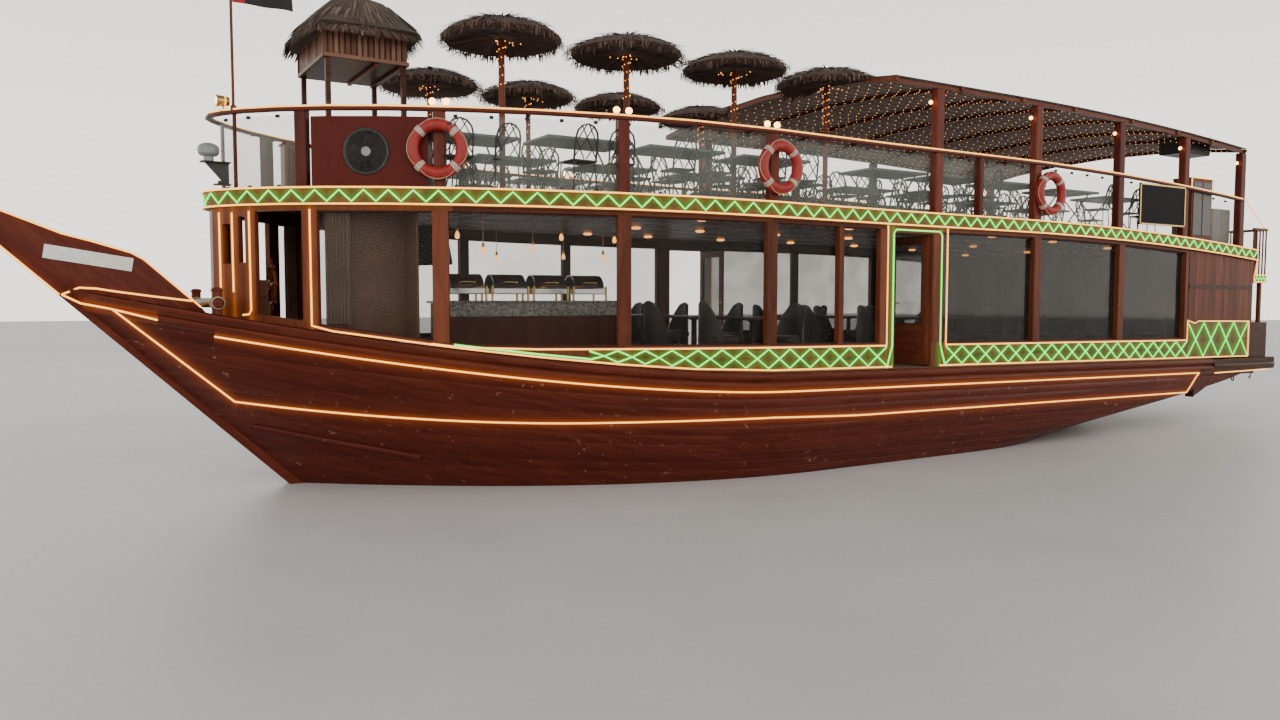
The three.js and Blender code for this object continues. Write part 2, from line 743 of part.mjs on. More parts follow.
function makeSideRailing() {
  const rail = cappingRail(alongAt(railScarf) + gap / 2, alongAt(tallPosts.at(-1)));
  const posts = [
    ...shortPosts.map((x) => railPost(x, 1, x > -2000 ? 150 : 95)),
    ...tallPosts.map((x) => planPost(x, 1, postSize, 140, 70, railFoot(x), postTop(x))),
  ];
  return cut(join(rail, ...posts), deckTool);
}

function makeBowRailing() {
  const end = alongAt(railScarf) - gap / 2;
  const posts = [1, -1].flatMap((side) => [
    ...bowPosts.map((x) => railPost(x, side, 150)),
    planPost(8560, side, 45, 45, 30, railFoot(8560), railTop(8560) - 20),
  ]);
  return cut(join(cappingRail(-end, end), ...posts), deckTool);
}

const railPane = { outer: -145, inner: -155 };
function makeRailGlass(s0, s1) {
  return band(s0, s1, railPane.inner, railPane.outer, (x) => deckTop(x) + gap, (x) => railTop(x) - 70);
}

// Housing of the extractor fan beside the port bow, and the rotor in its round mouth.
const fan = { x: 7220, z: 4320, radius: 250, depth: 130 };
const fanPlace = planPoint(alongAt(fan.x), -8);
const fanTurn = fanPlace.heading - Math.PI / 2;
function makeFanHousing() {
  const housing = sideBand(7790, 6560, -330, -8, (x) => deckTop(x) + gap, (x) => deckTop(x) + 860);
  const mouth = new THREE.CylinderGeometry(fan.radius, fan.radius, 2 * fan.depth, 24);
  mouth.rotateZ(Math.PI / 2);
  mouth.rotateZ(fanTurn).translate(fanPlace.x, fanPlace.y, fan.z);
  return cut(housing, mouth);
}

function makeFanRotor() {
  const hub = new THREE.CylinderGeometry(55, 55, 70, 14).rotateZ(Math.PI / 2);
  const stub = new THREE.CylinderGeometry(20, 20, 60, 10).rotateZ(Math.PI / 2).translate(-59, 0, 0);
  const blades = Array.from({ length: 5 }, (_, k) => {
    const blade = new THREE.BoxGeometry(8, 110, 190).translate(0, 0, 130).rotateZ(0.5);
    return blade.rotateX((k * 2 * Math.PI) / 5);
  });
  const rotor = join(hub, stub, ...blades);
  rotor.translate(-fan.depth + 89 + gap, 0, 0);
  return rotor.rotateZ(fanTurn).translate(fanPlace.x, fanPlace.y, fan.z);
}

// Canopy: an arched frame on the tall posts and a net over it. Both run straight between the
// same stops, fore and aft and across, so that they lie against each other.
const canopyStops = [canopyFront, -1310, -2500, -3740, -4900, -6120, -7200, -8250, -9300, canopyAft];
const canopyHalf = 3170;
const acrossY = [-1, -0.72, -0.4, 0, 0.4, 0.72, 1].map((k) => k * canopyHalf);
const crownAt = (y) => canopyCrown * (1 - (y / canopyHalf) ** 2);

function between(stops, line) {
  return (v) => {
    const i = clamp(
      stops.findIndex((stop) => (stops[0] < stops.at(-1) ? stop >= v : stop <= v)),
      1,
      stops.length - 1,
    );
    return mix(line(stops[i - 1]), line(stops[i]), (v - stops[i - 1]) / (stops[i] - stops[i - 1]));
  };
}

const edgeRun = between(canopyStops, canopyEdge);
const crownRun = between(acrossY, crownAt);
const roofZ = (x, y, drop) => edgeRun(x) + crownRun(y) - drop;

function makeCanopyNet() {
  return loft(
    canopyStops.map((x) => [
      ...acrossY.map((y) => [x, y, roofZ(x, y, 0)]),
      ...acrossY.map((y) => [x, y, roofZ(x, y, roofThick)]).reverse(),
    ]),
  );
}

function makeCanopyFrame() {
  const high = roofThick + gap;
  const section = (x0, x1, y0, y1, drop) => [
    [x0, y0, roofZ(x0, y0, high + beamHigh + drop)],
    [x1, y1, roofZ(x1, y1, high + beamHigh + drop)],
    [x1, y1, roofZ(x1, y1, high + drop)],
    [x0, y0, roofZ(x0, y0, high + drop)],
  ];
  const archXs = [canopyFront - 40, -1800, -3300, -4700, -6400, -7900, -9100, canopyAft + 40];
  const arches = archXs.map((x) => loft(acrossY.map((y) => section(x - 30, x + 30, y * 0.995, y * 0.995, 0))));
  const { inner, outer, drop } = sideBeam;
  const stops = canopyStops.map((x, i) => (i ? x : x - 6));
  const sides = [1, -1].map((s) => loft(stops.map((x) => section(x, x, s * inner, s * outer, drop))));
  return join(...arches, ...sides);
}

// Top of a tall post: under the side beam at the post's lower edge.
function postTop(x) {
  return roofZ(x - postSize / 2, sideBeam.outer, roofThick + beamHigh + sideBeam.drop + 2 * gap);
}

// What the canopy takes up, for what stands near its front edge.
const canopyTool = () =>
  loft(
    [canopyFront + 12, ...canopyStops.slice(1, 4)].map((x) => [
      ...acrossY.map((y) => [x, y, roofZ(x, y, -12)]),
      ...acrossY.map((y) => [x, y, roofZ(x, y, roofThick + beamHigh + 12)]).reverse(),
    ]),
  );

// Lookout hut over the fore part of the upper deck.
const hut = { fore: 7420, aft: 6420, half: 680, floor: 5640, wallTop: 6030, eave: 5960, peak: 6620 };
function makeHutFrame() {
  const { fore, aft, half, floor, wallTop } = hut;
  const corners = [
    [fore, half],
    [fore, -half],
    [aft, half],
    [aft, -half],
  ];
  const posts = corners.map(([x, y]) => block(x - 32, x + 32, y - 32, y + 32, deckTop(x) + gap, wallTop));
  const deck = block(aft - 32, fore + 32, -half - 32, half + 32, floor, floor + 40);
  const walls = cut(
    block(aft - 40, fore + 40, -half - 40, half + 40, floor, wallTop),
    block(aft, fore, -half, half, floor + 40, wallTop + 10),
  );
  return join(...posts, deck, walls);
}

function makeHutRoof() {
  const { fore, aft, half, eave, peak, wallTop } = hut;
  const mid = (fore + aft) / 2;
  const run = (fore - aft) / 2;
  const ring = (out, z) => [
    [mid + run + out, half + out, z],
    [mid + run + out, -half - out, z],
    [mid - run - out, -half - out, z],
    [mid - run - out, half + out, z],
  ];
  const roof = loft([ring(250, eave - 110), ring(310, eave), ring(-120, peak - 190), ring(-420, peak)]);
  const room = block(aft - 40 - gap, fore + 40 + gap, -half - 40 - gap, half + 40 + gap, 0, wallTop + gap);
  return cut(roof, room);
}

// Thatched parasols on poles.
const parasol = { radius: 875, pole: 45, rim: 5900, top: 6220 };
const parasolRows = [
  { side: "port", y: 1750, lift: 20, xs: [5450, 3550, 1650, -200] },
  { side: "starboard", y: -1750, lift: 75, xs: [5200, 3440, 1650, -200] },
];
const aftLift = 20; // of the last in each row, at the canopy's fore edge
function makeParasol(x, y, lift) {
  const { radius, pole } = parasol;
  const rim = parasol.rim + lift;
  const top = parasol.top + lift;
  const foot = deckTop(x) + gap;
  const outline = [
    [0, foot],
    [pole, foot],
    [pole, rim],
    [radius * 0.8, rim - 110],
    [radius * 0.97, rim - 130],
    [radius, rim - 30],
    [radius * 0.9, rim + 120],
    [radius * 0.5, top - 70],
    [0, top],
  ];
  const body = new THREE.LatheGeometry(
    outline.map(([r, z]) => new THREE.Vector2(r, z)),
    12,
  );
  body.rotateX(Math.PI / 2).translate(x, y, 0);
  return x - radius < canopyFront ? cut(body, canopyTool()) : body;
}

// Life rings hung outside the railing.
const lifeRing = { middle: 295, tube: 75 };
const ringXs = [6450, 1960, -3960];
function makeLifeRing(x) {
  const p = planPoint(alongAt(x), lifeRing.tube + gap);
  const ring = new THREE.TorusGeometry(lifeRing.middle, lifeRing.tube, 8, 14);
  ring.rotateX(Math.PI / 2).rotateZ(p.heading);
  return ring.translate(p.x, p.y, deckTop(x) + 460);
}

// Bow fittings.
function makeBowBitts() {
  const x = 8860;
  const base = sheer(x);
  const post = (y) => block(x - 55, x + 55, y - 60, y + 60, base - 60, base + 330);
  const log = new THREE.CylinderGeometry(50, 50, 2300, 10).translate(x, 0, base + 200);
  return cut(join(post(960), post(-960), log), hullTool);
}

// Flagpole, flag and searchlight stand on the capping rail at the bow.
const poleX = 8560;
const poleTop = 6900;
const poleRadius = 18;
const polePlace = planPoint(alongAt(poleX), -20);
function makeFlagpole() {
  const foot = railTop(poleX) + clearance;
  const { x, y } = polePlace;
  return join(upright(x, y, foot, poleTop, poleRadius, 8), upright(x, y, foot, foot + 60, 36, 10));
}

function makeFlag() {
  const { x, y } = polePlace;
  return block(x - 760, x - poleRadius - gap, y - 6, y + 6, 6200, 6700);
}

function makeSearchlight() {
  const { x, y } = planPoint(alongAt(8660), -20);
  const foot = railTop(8660) + clearance;
  const lamp = new THREE.CylinderGeometry(75, 60, 150, 12).rotateZ(Math.PI / 2).translate(x, y, foot + 130);
  return join(lamp, upright(x, y, foot, foot + 90, 30, 8));
}

// Steering wheel of turned wood on its stand, inside the wheelhouse.
const helm = { x: 8100, y: 300, z: 2700, radius: 250, grip: 330 };
function makeShipWheel() {
  const rim = new THREE.TorusGeometry(helm.radius, 22, 5, 16);
  const hub = new THREE.CylinderGeometry(55, 55, 70, 12).rotateX(Math.PI / 2);
  const spokes = Array.from({ length: 4 }, (_, k) => {
    const spoke = new THREE.CylinderGeometry(14, 14, 2 * helm.grip, 5);
    return spoke.rotateZ((k * Math.PI) / 4);
  });
  return join(rim, hub, ...spokes).rotateY(Math.PI / 2).translate(helm.x, helm.y, helm.z);
}

function makeWheelStand() {
  const x = helm.x + 60;
  const foot = sheer(x);
  const stand = block(x, x + 160, helm.y - 90, helm.y + 90, foot - 30, helm.z + 60);
  const shaft = new THREE.CylinderGeometry(22, 22, 60, 10).rotateZ(Math.PI / 2);
  shaft.translate(helm.x + 35 + gap + 30, helm.y, helm.z);
  return cut(join(stand, shaft), hullTool);
}

// Boards, cabinet and serving counter.
const makeSign = () => block(-8120, -6620, 3150 + 20 + gap, 3150 + 48, 3900, 4660);
const makeAftCabinet = () => cut(block(-9280, -8560, 2700, 3080, 3600, 4880), deckTool);
const makeCounter = () => cut(block(2600, 5600, -700, -100, sheer(4000) - 300, 2450), hullTool);

add("hull", makeHull(), hullPaint);
add("keel", makeKeel(), darkWood);
add("stem", makeStem(), hullPaint);
addPair("name_plate", makeNamePlate(), white);
addPair("wale", makeWale(), darkWood);
addPair("hull_lights", makeHullLights(), lampOrange);
add("stern_platform", makeSternPlatform(), darkWood);
add("rudder", makeRudder(), darkWood);
add("propeller", makePropeller(), bronze);
addPair("wall", makeSideWall(), wood);
add("wall_front", makeFrontWall(), wood);
add("wall_aft", makeAftWall(), wood);
addPair("glass_forward", makePane(7800, -60), glassClear);
addPair("glass_aft", makePane(-1400, -8330), glassClear);
addPair("door", makeDoor(), wood);
add("upper_deck", makeUpperDeck(), wood);
add("fascia", makeFascia(), wood);
add("stern_landing", makeLanding(), wood);
addPair("railing", makeSideRailing(), wood);
add("railing_bow", makeBowRailing(), wood);
add("rail_glass_port", makeRailGlass(alongAt(6400), alongAt(-8500)), glassClear);
add("rail_glass_quarter", makeRailGlass(alongAt(-9340), alongAt(-10330)), glassClear);
add("rail_glass_bow", makeRailGlass(-alongAt(-10330), alongAt(7870)), glassClear);
add("fan_housing", makeFanHousing(), wood);
add("fan_rotor", makeFanRotor(), black);
add("canopy_frame", makeCanopyFrame(), wood);
add("canopy_net", makeCanopyNet(), netBrown);
add("hut_frame", makeHutFrame(), wood);
add("hut_roof", makeHutRoof(), thatch);
parasolRows.forEach(({ side, y, lift, xs }) => {
  xs.forEach((x, k) => {
    add(`parasol_${side}_${k + 1}`, makeParasol(x, y, k < 3 ? lift : aftLift), thatch);
  });
});
ringXs.forEach((x, k) => {
  const geometry = makeLifeRing(x);
  add(`life_ring_port_${k + 1}`, geometry, ringRed);
  add(`life_ring_starboard_${k + 1}`, geometry, ringRed).scale.y = -1;
});
add("bow_bitts", makeBowBitts(), darkWood);
add("flagpole", makeFlagpole(), wood);
add("flag", makeFlag(), white);
add("searchlight", makeSearchlight(), steel);
add("ship_wheel", makeShipWheel(), wood);
add("wheel_stand", makeWheelStand(), wood);
add("sign_board", makeSign(), black);
add("aft_cabinet", makeAftCabinet(), wood);
add("serving_counter", makeCounter(), wood);

export default boat;
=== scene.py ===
# Two-deck dinner-cruise dhow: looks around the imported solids. Metres, +X to the bow, +Y to port, +Z up.
import math
import bpy
import numpy as np
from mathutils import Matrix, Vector


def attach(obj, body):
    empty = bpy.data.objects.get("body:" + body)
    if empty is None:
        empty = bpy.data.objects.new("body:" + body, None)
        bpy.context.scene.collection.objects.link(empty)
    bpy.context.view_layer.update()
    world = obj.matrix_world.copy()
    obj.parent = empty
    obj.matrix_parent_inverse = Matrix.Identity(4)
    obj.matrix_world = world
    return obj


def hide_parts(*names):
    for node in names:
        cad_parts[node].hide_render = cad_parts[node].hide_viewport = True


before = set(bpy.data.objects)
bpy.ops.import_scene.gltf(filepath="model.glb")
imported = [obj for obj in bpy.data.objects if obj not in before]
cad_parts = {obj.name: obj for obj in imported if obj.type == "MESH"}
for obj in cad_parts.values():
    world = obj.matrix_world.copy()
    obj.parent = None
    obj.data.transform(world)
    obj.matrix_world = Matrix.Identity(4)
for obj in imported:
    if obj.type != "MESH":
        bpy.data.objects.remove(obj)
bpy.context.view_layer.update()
print("frame loaded")

cameraSet = {"place": (10.6, 13.58, 2.5), "heading": (-0.524, -0.852), "pitch": 3.58, "lens": 27.0}


def makeCamera(place, heading, pitch, lens):
    camera = bpy.data.objects.new("camera", bpy.data.cameras.new("camera"))
    bpy.context.scene.collection.objects.link(camera)
    level = math.cos(math.radians(pitch))
    look = Vector((heading[0] * level, heading[1] * level, -math.sin(math.radians(pitch))))
    camera.location = place
    camera.rotation_mode = "QUATERNION"
    camera.rotation_quaternion = look.to_track_quat("-Z", "Y")
    camera.data.lens = lens
    camera.data.sensor_width = 36
    camera.data.clip_end = 500
    bpy.context.scene.camera = camera


makeCamera(**cameraSet)


# Shapes: corner points, quads of corner numbers and, for each point, its place in the timber.
class Shape:
    def __init__(self, points, quads, grain=None, tone=None):
        self.points = np.asarray(points, float).reshape(-1, 3)
        self.quads = np.asarray(quads, int).reshape(-1, 4)
        self.grain = self.points.copy() if grain is None else np.asarray(grain, float).reshape(-1, 3)
        self.tone = np.zeros(len(self.points)) if tone is None else np.broadcast_to(tone, len(self.points))

    # Signed volume of the closed skin; where it is negative the quads are turned round.
    def outward(self):
        a, b, c, d = (self.points[self.quads[:, k]] for k in range(4))
        volume = np.sum(a * np.cross(b, c)) + np.sum(a * np.cross(c, d))
        if volume < 0:
            self.quads = self.quads[:, ::-1]
        return self

    def moved(self, offset):
        return Shape(self.points + np.asarray(offset, float), self.quads, self.grain, self.tone)

    def turned(self, angle, axis="z"):
        a, b = {"x": (1, 2), "y": (2, 0), "z": (0, 1)}[axis]
        p, out = self.points, self.points.copy()
        out[:, a] = p[:, a] * math.cos(angle) - p[:, b] * math.sin(angle)
        out[:, b] = p[:, a] * math.sin(angle) + p[:, b] * math.cos(angle)
        return Shape(out, self.quads, self.grain, self.tone)

    def mirrored(self):
        return Shape(self.points * (1, -1, 1), self.quads[:, ::-1], self.grain, self.tone)

    def toned(self, tone):
        return Shape(self.points, self.quads, self.grain + (0, 7.3 * tone, 3.1 * tone), tone)


# Points from their three coordinates, each a number or an array.
def coords(x, y, z):
    return np.stack(np.broadcast_arrays(x, y, z), -1)


def merged(*shapes):
    shapes = [s for group in shapes for s in (group if isinstance(group, (list, tuple)) else [group])]
    starts = np.cumsum([0] + [len(s.points) for s in shapes])
    return Shape(
        np.concatenate([s.points for s in shapes]),
        np.concatenate([s.quads + start for s, start in zip(shapes, starts)]),
        np.concatenate([s.grain for s in shapes]),
        np.concatenate([s.tone for s in shapes]),
    )


# The same shape at many places: offsets is (k, 3), turns the angle about Z at each.
def repeated(shape, offsets, turns=0.0, scales=1.0, tones=0.0):
    offsets = np.asarray(offsets, float).reshape(-1, 3)
    count, size = len(offsets), len(shape.points)
    turns, scales, tones = (np.broadcast_to(v, count) for v in (turns, scales, tones))
    c, s = np.cos(turns)[:, None], np.sin(turns)[:, None]
    p = shape.points[None] * scales[:, None, None]
    x = p[..., 0] * c - p[..., 1] * s
    y = p[..., 0] * s + p[..., 1] * c
    points = coords(x, y, p[..., 2]) + offsets[:, None]
    quads = shape.quads[None] + (np.arange(count) * size)[:, None, None]
    grain = shape.grain[None] + coords(tones * 0, tones * 7.3, tones * 3.1)[:, None]
    return Shape(points, quads, grain, np.repeat(tones, size))


# Quads of a grid of rows by columns, joined round where asked.
def gridQuads(rows, columns, aroundRows=False, aroundColumns=False):
    r = np.arange(rows if aroundRows else rows - 1)[:, None]
    c = np.arange(columns if aroundColumns else columns - 1)[None]
    r2, c2 = (r + 1) % rows, (c + 1) % columns
    corners = [r * columns + c, r2 * columns + c, r2 * columns + c2, r * columns + c2]
    return np.stack(np.broadcast_arrays(*corners), -1).reshape(-1, 4)


# Quads that close a ring of an even number of corners, laid across it like rungs.
def ladder(ring):
    half = len(ring) // 2
    back = ring[::-1]
    return np.stack([ring[: half - 1], ring[1:half], back[1:half], back[: half - 1]], -1)


# A closed skin over rings: rings is (rows, columns, 3), with both ends closed by rungs.
def skin(rings, grain=None, around=False, tone=None):
    rows, columns = rings.shape[:2]
    quads = [gridQuads(rows, columns, around, True)]
    if not around:
        last = (rows - 1) * columns + np.arange(columns)
        quads += [ladder(np.arange(columns))[:, ::-1], ladder(last)]
    return Shape(rings, np.concatenate(quads), grain, tone).outward()


# A section carried along a path. Side is level and square to the path, up is square to both.
def sweep(path, section, closed=False, up=(0, 0, 1), scale=1.0):
    path, section = np.asarray(path, float), np.asarray(section, float)
    if closed:
        ahead, behind = np.roll(path, -1, 0), np.roll(path, 1, 0)
    else:
        ahead, behind = np.vstack([path[1:], path[-1:]]), np.vstack([path[:1], path[:-1]])
    along = ahead - behind
    along /= np.linalg.norm(along, axis=1)[:, None]
    steep = np.abs(along @ np.asarray(up, float)) > 0.95
    side = np.cross(along, np.where(steep[:, None], np.roll(up, 1), up))
    side /= np.maximum(np.linalg.norm(side, axis=1), 1e-9)[:, None]
    follow = np.where(np.sum(side[1:] * side[:-1], 1) < 0, -1, 1)
    side *= np.concatenate([[1], np.cumprod(follow)])[:, None]
    top = np.cross(side, along)
    size = np.broadcast_to(scale, len(path))[:, None, None]
    flat = section[None] * size
    points = path[:, None] + side[:, None] * flat[..., :1] + top[:, None] * flat[..., 1:]
    steps = np.linalg.norm(np.diff(path, axis=0), axis=1)
    run = np.concatenate([[0], np.cumsum(steps)])
    run = np.broadcast_to(run[:, None], flat.shape[:2])
    return skin(points, coords(run, flat[..., 0], flat[..., 1]), around=closed)


def circle(sides):
    a = (np.arange(sides) + 0.5) * 2 * math.pi / sides
    return np.stack([np.cos(a), np.sin(a)], -1)


# A rectangle with its corners cut or rounded, as a section.
def boxSection(width, height, corner=0.008, round=1):
    a, b = width / 2 - corner, height / 2 - corner
    out = []
    for k, (sx, sy) in enumerate([(1, 1), (-1, 1), (-1, -1), (1, -1)]):
        turns = np.linspace(0, math.pi / 2, round + 1) + k * math.pi / 2
        out.append(np.stack([sx * a + corner * np.cos(turns), sy * b + corner * np.sin(turns)], -1))
    return np.concatenate(out)


def tube(path, radius, sides=8, closed=False, up=(0, 0, 1)):
    return sweep(path, circle(sides), closed, up, radius)


# A board between two corners with cut edges, its grain along its longest side.
def board(low, high, corner=0.006, tone=0.0):
    low, high = np.minimum(low, high).astype(float), np.maximum(low, high).astype(float)
    size = high - low
    long = int(np.argmax(size))
    a, b = [k for k in range(3) if k != long]
    corner = min(corner, 0.3 * size.min())
    section = boxSection(size[a], size[b], corner)
    inner = section * (1 - 2 * corner / np.array([size[a], size[b]]))
    runs = [0, corner, size[long] - corner, size[long]]
    rings = np.zeros((4, len(section), 3))
    grain = np.zeros_like(rings)
    for k, (run, flat) in enumerate(zip(runs, [inner, section, section, inner])):
        rings[k, :, a] = flat[:, 0] + (low[a] + high[a]) / 2
        rings[k, :, b] = flat[:, 1] + (low[b] + high[b]) / 2
        rings[k, :, long] = low[long] + run
        grain[k, :, 0] = run
        grain[k, :, 1:] = flat
    return skin(rings, grain).toned(tone)


def block(low, high):
    low, high = np.asarray(low, float), np.asarray(high, float)
    flat = np.array([[0, 0], [1, 0], [1, 1], [0, 1]])
    corners = np.concatenate([np.insert(flat, 2, level, 1) for level in (0, 1)])
    quads = [[0, 3, 2, 1], [4, 5, 6, 7], [0, 1, 5, 4], [1, 2, 6, 5], [2, 3, 7, 6], [3, 0, 4, 7]]
    return Shape(low + corners * (high - low), quads).outward()


# A profile of [radius, height] turned about Z; its ends close on a small ring.
def lathe(profile, sides=24, centre=(0, 0, 0)):
    profile = np.asarray(profile, float)
    a = np.arange(sides) * 2 * math.pi / sides
    r = np.maximum(profile[:, :1], 0.0004)
    rings = coords(r * np.cos(a), r * np.sin(a), np.broadcast_to(profile[:, 1:], (len(r), sides)))
    return skin(rings + np.asarray(centre, float))


def ball(radius, centre=(0, 0, 0), sides=12):
    a = np.linspace(-math.pi / 2, math.pi / 2, sides // 2 + 1)
    return lathe(np.stack([np.cos(a), np.sin(a)], -1) * radius, sides, centre)


def ringTube(radius, thick, sides=32, around=10):
    a = np.arange(sides) * 2 * math.pi / sides
    path = coords(np.cos(a) * radius, np.sin(a) * radius, a * 0)
    return tube(path, thick, around, closed=True)


# The slot of each look, where a piece names no other.
slotOf = {}
for slot, names in {
    "hull_paint": "hullWood redWood",
    "dark_wood": "oldWood waleWood darkWood",
    "varnished_wood": "railWood boardWood postWood slatWood edgeLit crossLit tallLit brownPanel",
    "rope_light": "warmLight greenLight bulbLight dimBulb",
    "black_paint": "blackPaint ironDark leather",
    "steel": "greyTop slate taupe polished tableGrey",
    "bronze": "brass",
    "thatch": "thatch hutThatch",
    "net": "netCloth",
    "ring_red": "redShell",
    "white_paint": "paleBand ropeLook whitePaint stone",
    "flag_cloth": "curtainCloth flagCloth",
    "glass": "paneGlass",
}.items():
    slotOf.update(dict.fromkeys(names.split(), slot))


# Puts a shape into the scene as a piece that rides on a body.
def piece(name, shape, look, body="boat", sharp=35, slot=None, stands=(), bevel=0.0, looks=(), pick=None):
    mesh = bpy.data.meshes.new(name)
    mesh.vertices.add(len(shape.points))
    mesh.vertices.foreach_set("co", shape.points.astype(np.float32).ravel())
    mesh.loops.add(shape.quads.size)
    mesh.loops.foreach_set("vertex_index", shape.quads.astype(np.int32).ravel())
    mesh.polygons.add(len(shape.quads))
    mesh.polygons.foreach_set("loop_start", np.arange(0, shape.quads.size, 4, dtype=np.int32))
    mesh.update(calc_edges=True)
    layers = (("grain", "FLOAT_VECTOR", "vector", shape.grain), ("tone", "FLOAT", "value", shape.tone))
    for label, kind, field, values in layers:
        layer = mesh.attributes.new(label, kind, "POINT")
        layer.data.foreach_set(field, values.astype(np.float32).ravel())
    for material in [look, *looks]:
        mesh.materials.append(material)
    if pick is not None:
        mesh.polygons.foreach_set("material_index", pick.astype(np.int32))
    mesh.polygons.foreach_set("use_smooth", np.ones(len(shape.quads), bool))
    mesh.set_sharp_from_angle(angle=math.radians(sharp))
    mesh.validate()
    made = bpy.data.objects.new(name, mesh)
    bpy.context.scene.collection.objects.link(made)
    if bevel:
        rounding = made.modifiers.new("edges", "BEVEL")
        rounding.width = bevel
        rounding.segments = 2
        rounding.limit_method = "ANGLE"
    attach(made, body)
    slot or slotOf[look.name.split(".")[0]]
    if stands:
        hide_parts(*stands)
    return made


# A piece to port and its mirror image to starboard.
def twins(names, shape, look, stands=((), ()), **settings):
    return [
        piece(name, side, look, stands=nodes, **settings)
        for name, side, nodes in zip(names, (shape, shape.mirrored()), stands)
    ]


# Wraps a socket, so that shader maths reads as Python; each operator adds its node.
class Value:
    def __init__(self, look, socket):
        self.look, self.socket = look, socket

    def maths(self, operation, *values):
        return self.look.node("ShaderNodeMath", {"operation": operation}, dict(enumerate(values)))

    def __add__(self, other):
        return self.maths("ADD", self, other)

    def __mul__(self, other):
        return self.maths("MULTIPLY", self, other)

    def __sub__(self, other):
        return self.maths("SUBTRACT", self, other)

    def __rsub__(self, other):
        return self.maths("SUBTRACT", other, self)

    def __pow__(self, other):
        return self.maths("POWER", self, other)

    def over(self, other):
        return self.maths("GREATER_THAN", self, other)

    def least(self, other):
        return self.maths("MINIMUM", self, other)

    def most(self, other):
        return self.maths("MAXIMUM", self, other)

    def size(self):
        return self.maths("ABSOLUTE", self)

    def near(self, reach):  # 1 on a line, fading with the distance from it
        return self.maths("POWER", math.e, self * (-1 / reach))

    def folded(self, pitch):  # distance to the nearest multiple of pitch
        return self.maths("PINGPONG", self, pitch / 2)

    __radd__ = __add__
    __rmul__ = __mul__


# One procedural material. Its node method takes any node's type, settings and socket values.
class Look:
    sockets = {
        "color": "Base Color", "roughness": "Roughness", "metal": "Metallic", "coat": "Coat Weight",
        "coatRoughness": "Coat Roughness", "alpha": "Alpha", "glow": "Emission Color",
        "strength": "Emission Strength", "normal": "Normal", "sheen": "Sheen Weight",
        "shine": "Specular IOR Level",
    }

    def __init__(self, name, **values):
        self.material = bpy.data.materials.new(name)
        self.material.use_nodes = True
        self.tree = self.material.node_tree
        self.shader = self.tree.nodes["Principled BSDF"]
        self.settle(**values)

    def settle(self, **values):
        for name, value in values.items():
            self.feed(self.shader.inputs[self.sockets[name]], value)
        return self.material

    def feed(self, socket, value):
        if isinstance(value, Value):
            self.tree.links.new(value.socket, socket)
        else:
            socket.default_value = (*value, 1) if socket.type == "RGBA" and len(value) == 3 else value

    def node(self, kind, settings=None, values=None, output=0):
        made = self.tree.nodes.new(kind)
        for key, value in (settings or {}).items():
            setattr(made, key, value)
        for key, value in (values or {}).items():
            self.feed(made.inputs[key], value)
        return Value(self, made.outputs[output])

    # The piece's own timber coordinates, or the object's, stretched by a scale.
    def place(self, scale=(1, 1, 1), grain=True):
        if grain:
            start = self.node("ShaderNodeAttribute", {"attribute_name": "grain"}, output="Vector")
        else:
            start = self.node("ShaderNodeTexCoord", output="Object")
        return self.node("ShaderNodeMapping", {}, {"Vector": start, "Scale": scale})

    def spot(self):
        return self.place(grain=False)

    def tone(self):
        return self.node("ShaderNodeAttribute", {"attribute_name": "tone"}, output="Fac")

    def noise(self, vector, scale, detail=4, rough=0.55, twist=0.0):
        values = {"Vector": vector, "Scale": scale, "Detail": detail, "Roughness": rough}
        return self.node("ShaderNodeTexNoise", {}, {**values, "Distortion": twist})

    def axis(self, vector, name):
        return self.node("ShaderNodeSeparateXYZ", {}, {0: vector}, output=name)

    def ramp(self, value, stops):
        made = self.tree.nodes.new("ShaderNodeValToRGB")
        ramp = made.color_ramp
        while len(ramp.elements) < len(stops):
            ramp.elements.new(0.5)
        for element, (position, color) in zip(ramp.elements, stops):
            element.position = position
            element.color = (*color, 1) if len(color) == 3 else color
        self.feed(made.inputs[0], value)
        return Value(self, made.outputs[0])

    def span(self, value, low, high, toLow=0.0, toHigh=1.0):
        values = {0: value, 1: low, 2: high, 3: toLow, 4: toHigh}
        return self.node("ShaderNodeMapRange", {"clamp": True}, values)

    def blend(self, factor, first, second):
        return self.node("ShaderNodeMix", {"data_type": "RGBA"}, {0: factor, 6: first, 7: second}, output=2)

    def bump(self, height, distance=0.002, strength=0.6):
        values = {"Height": height, "Distance": distance, "Strength": strength}
        return self.node("ShaderNodeBump", {}, values)


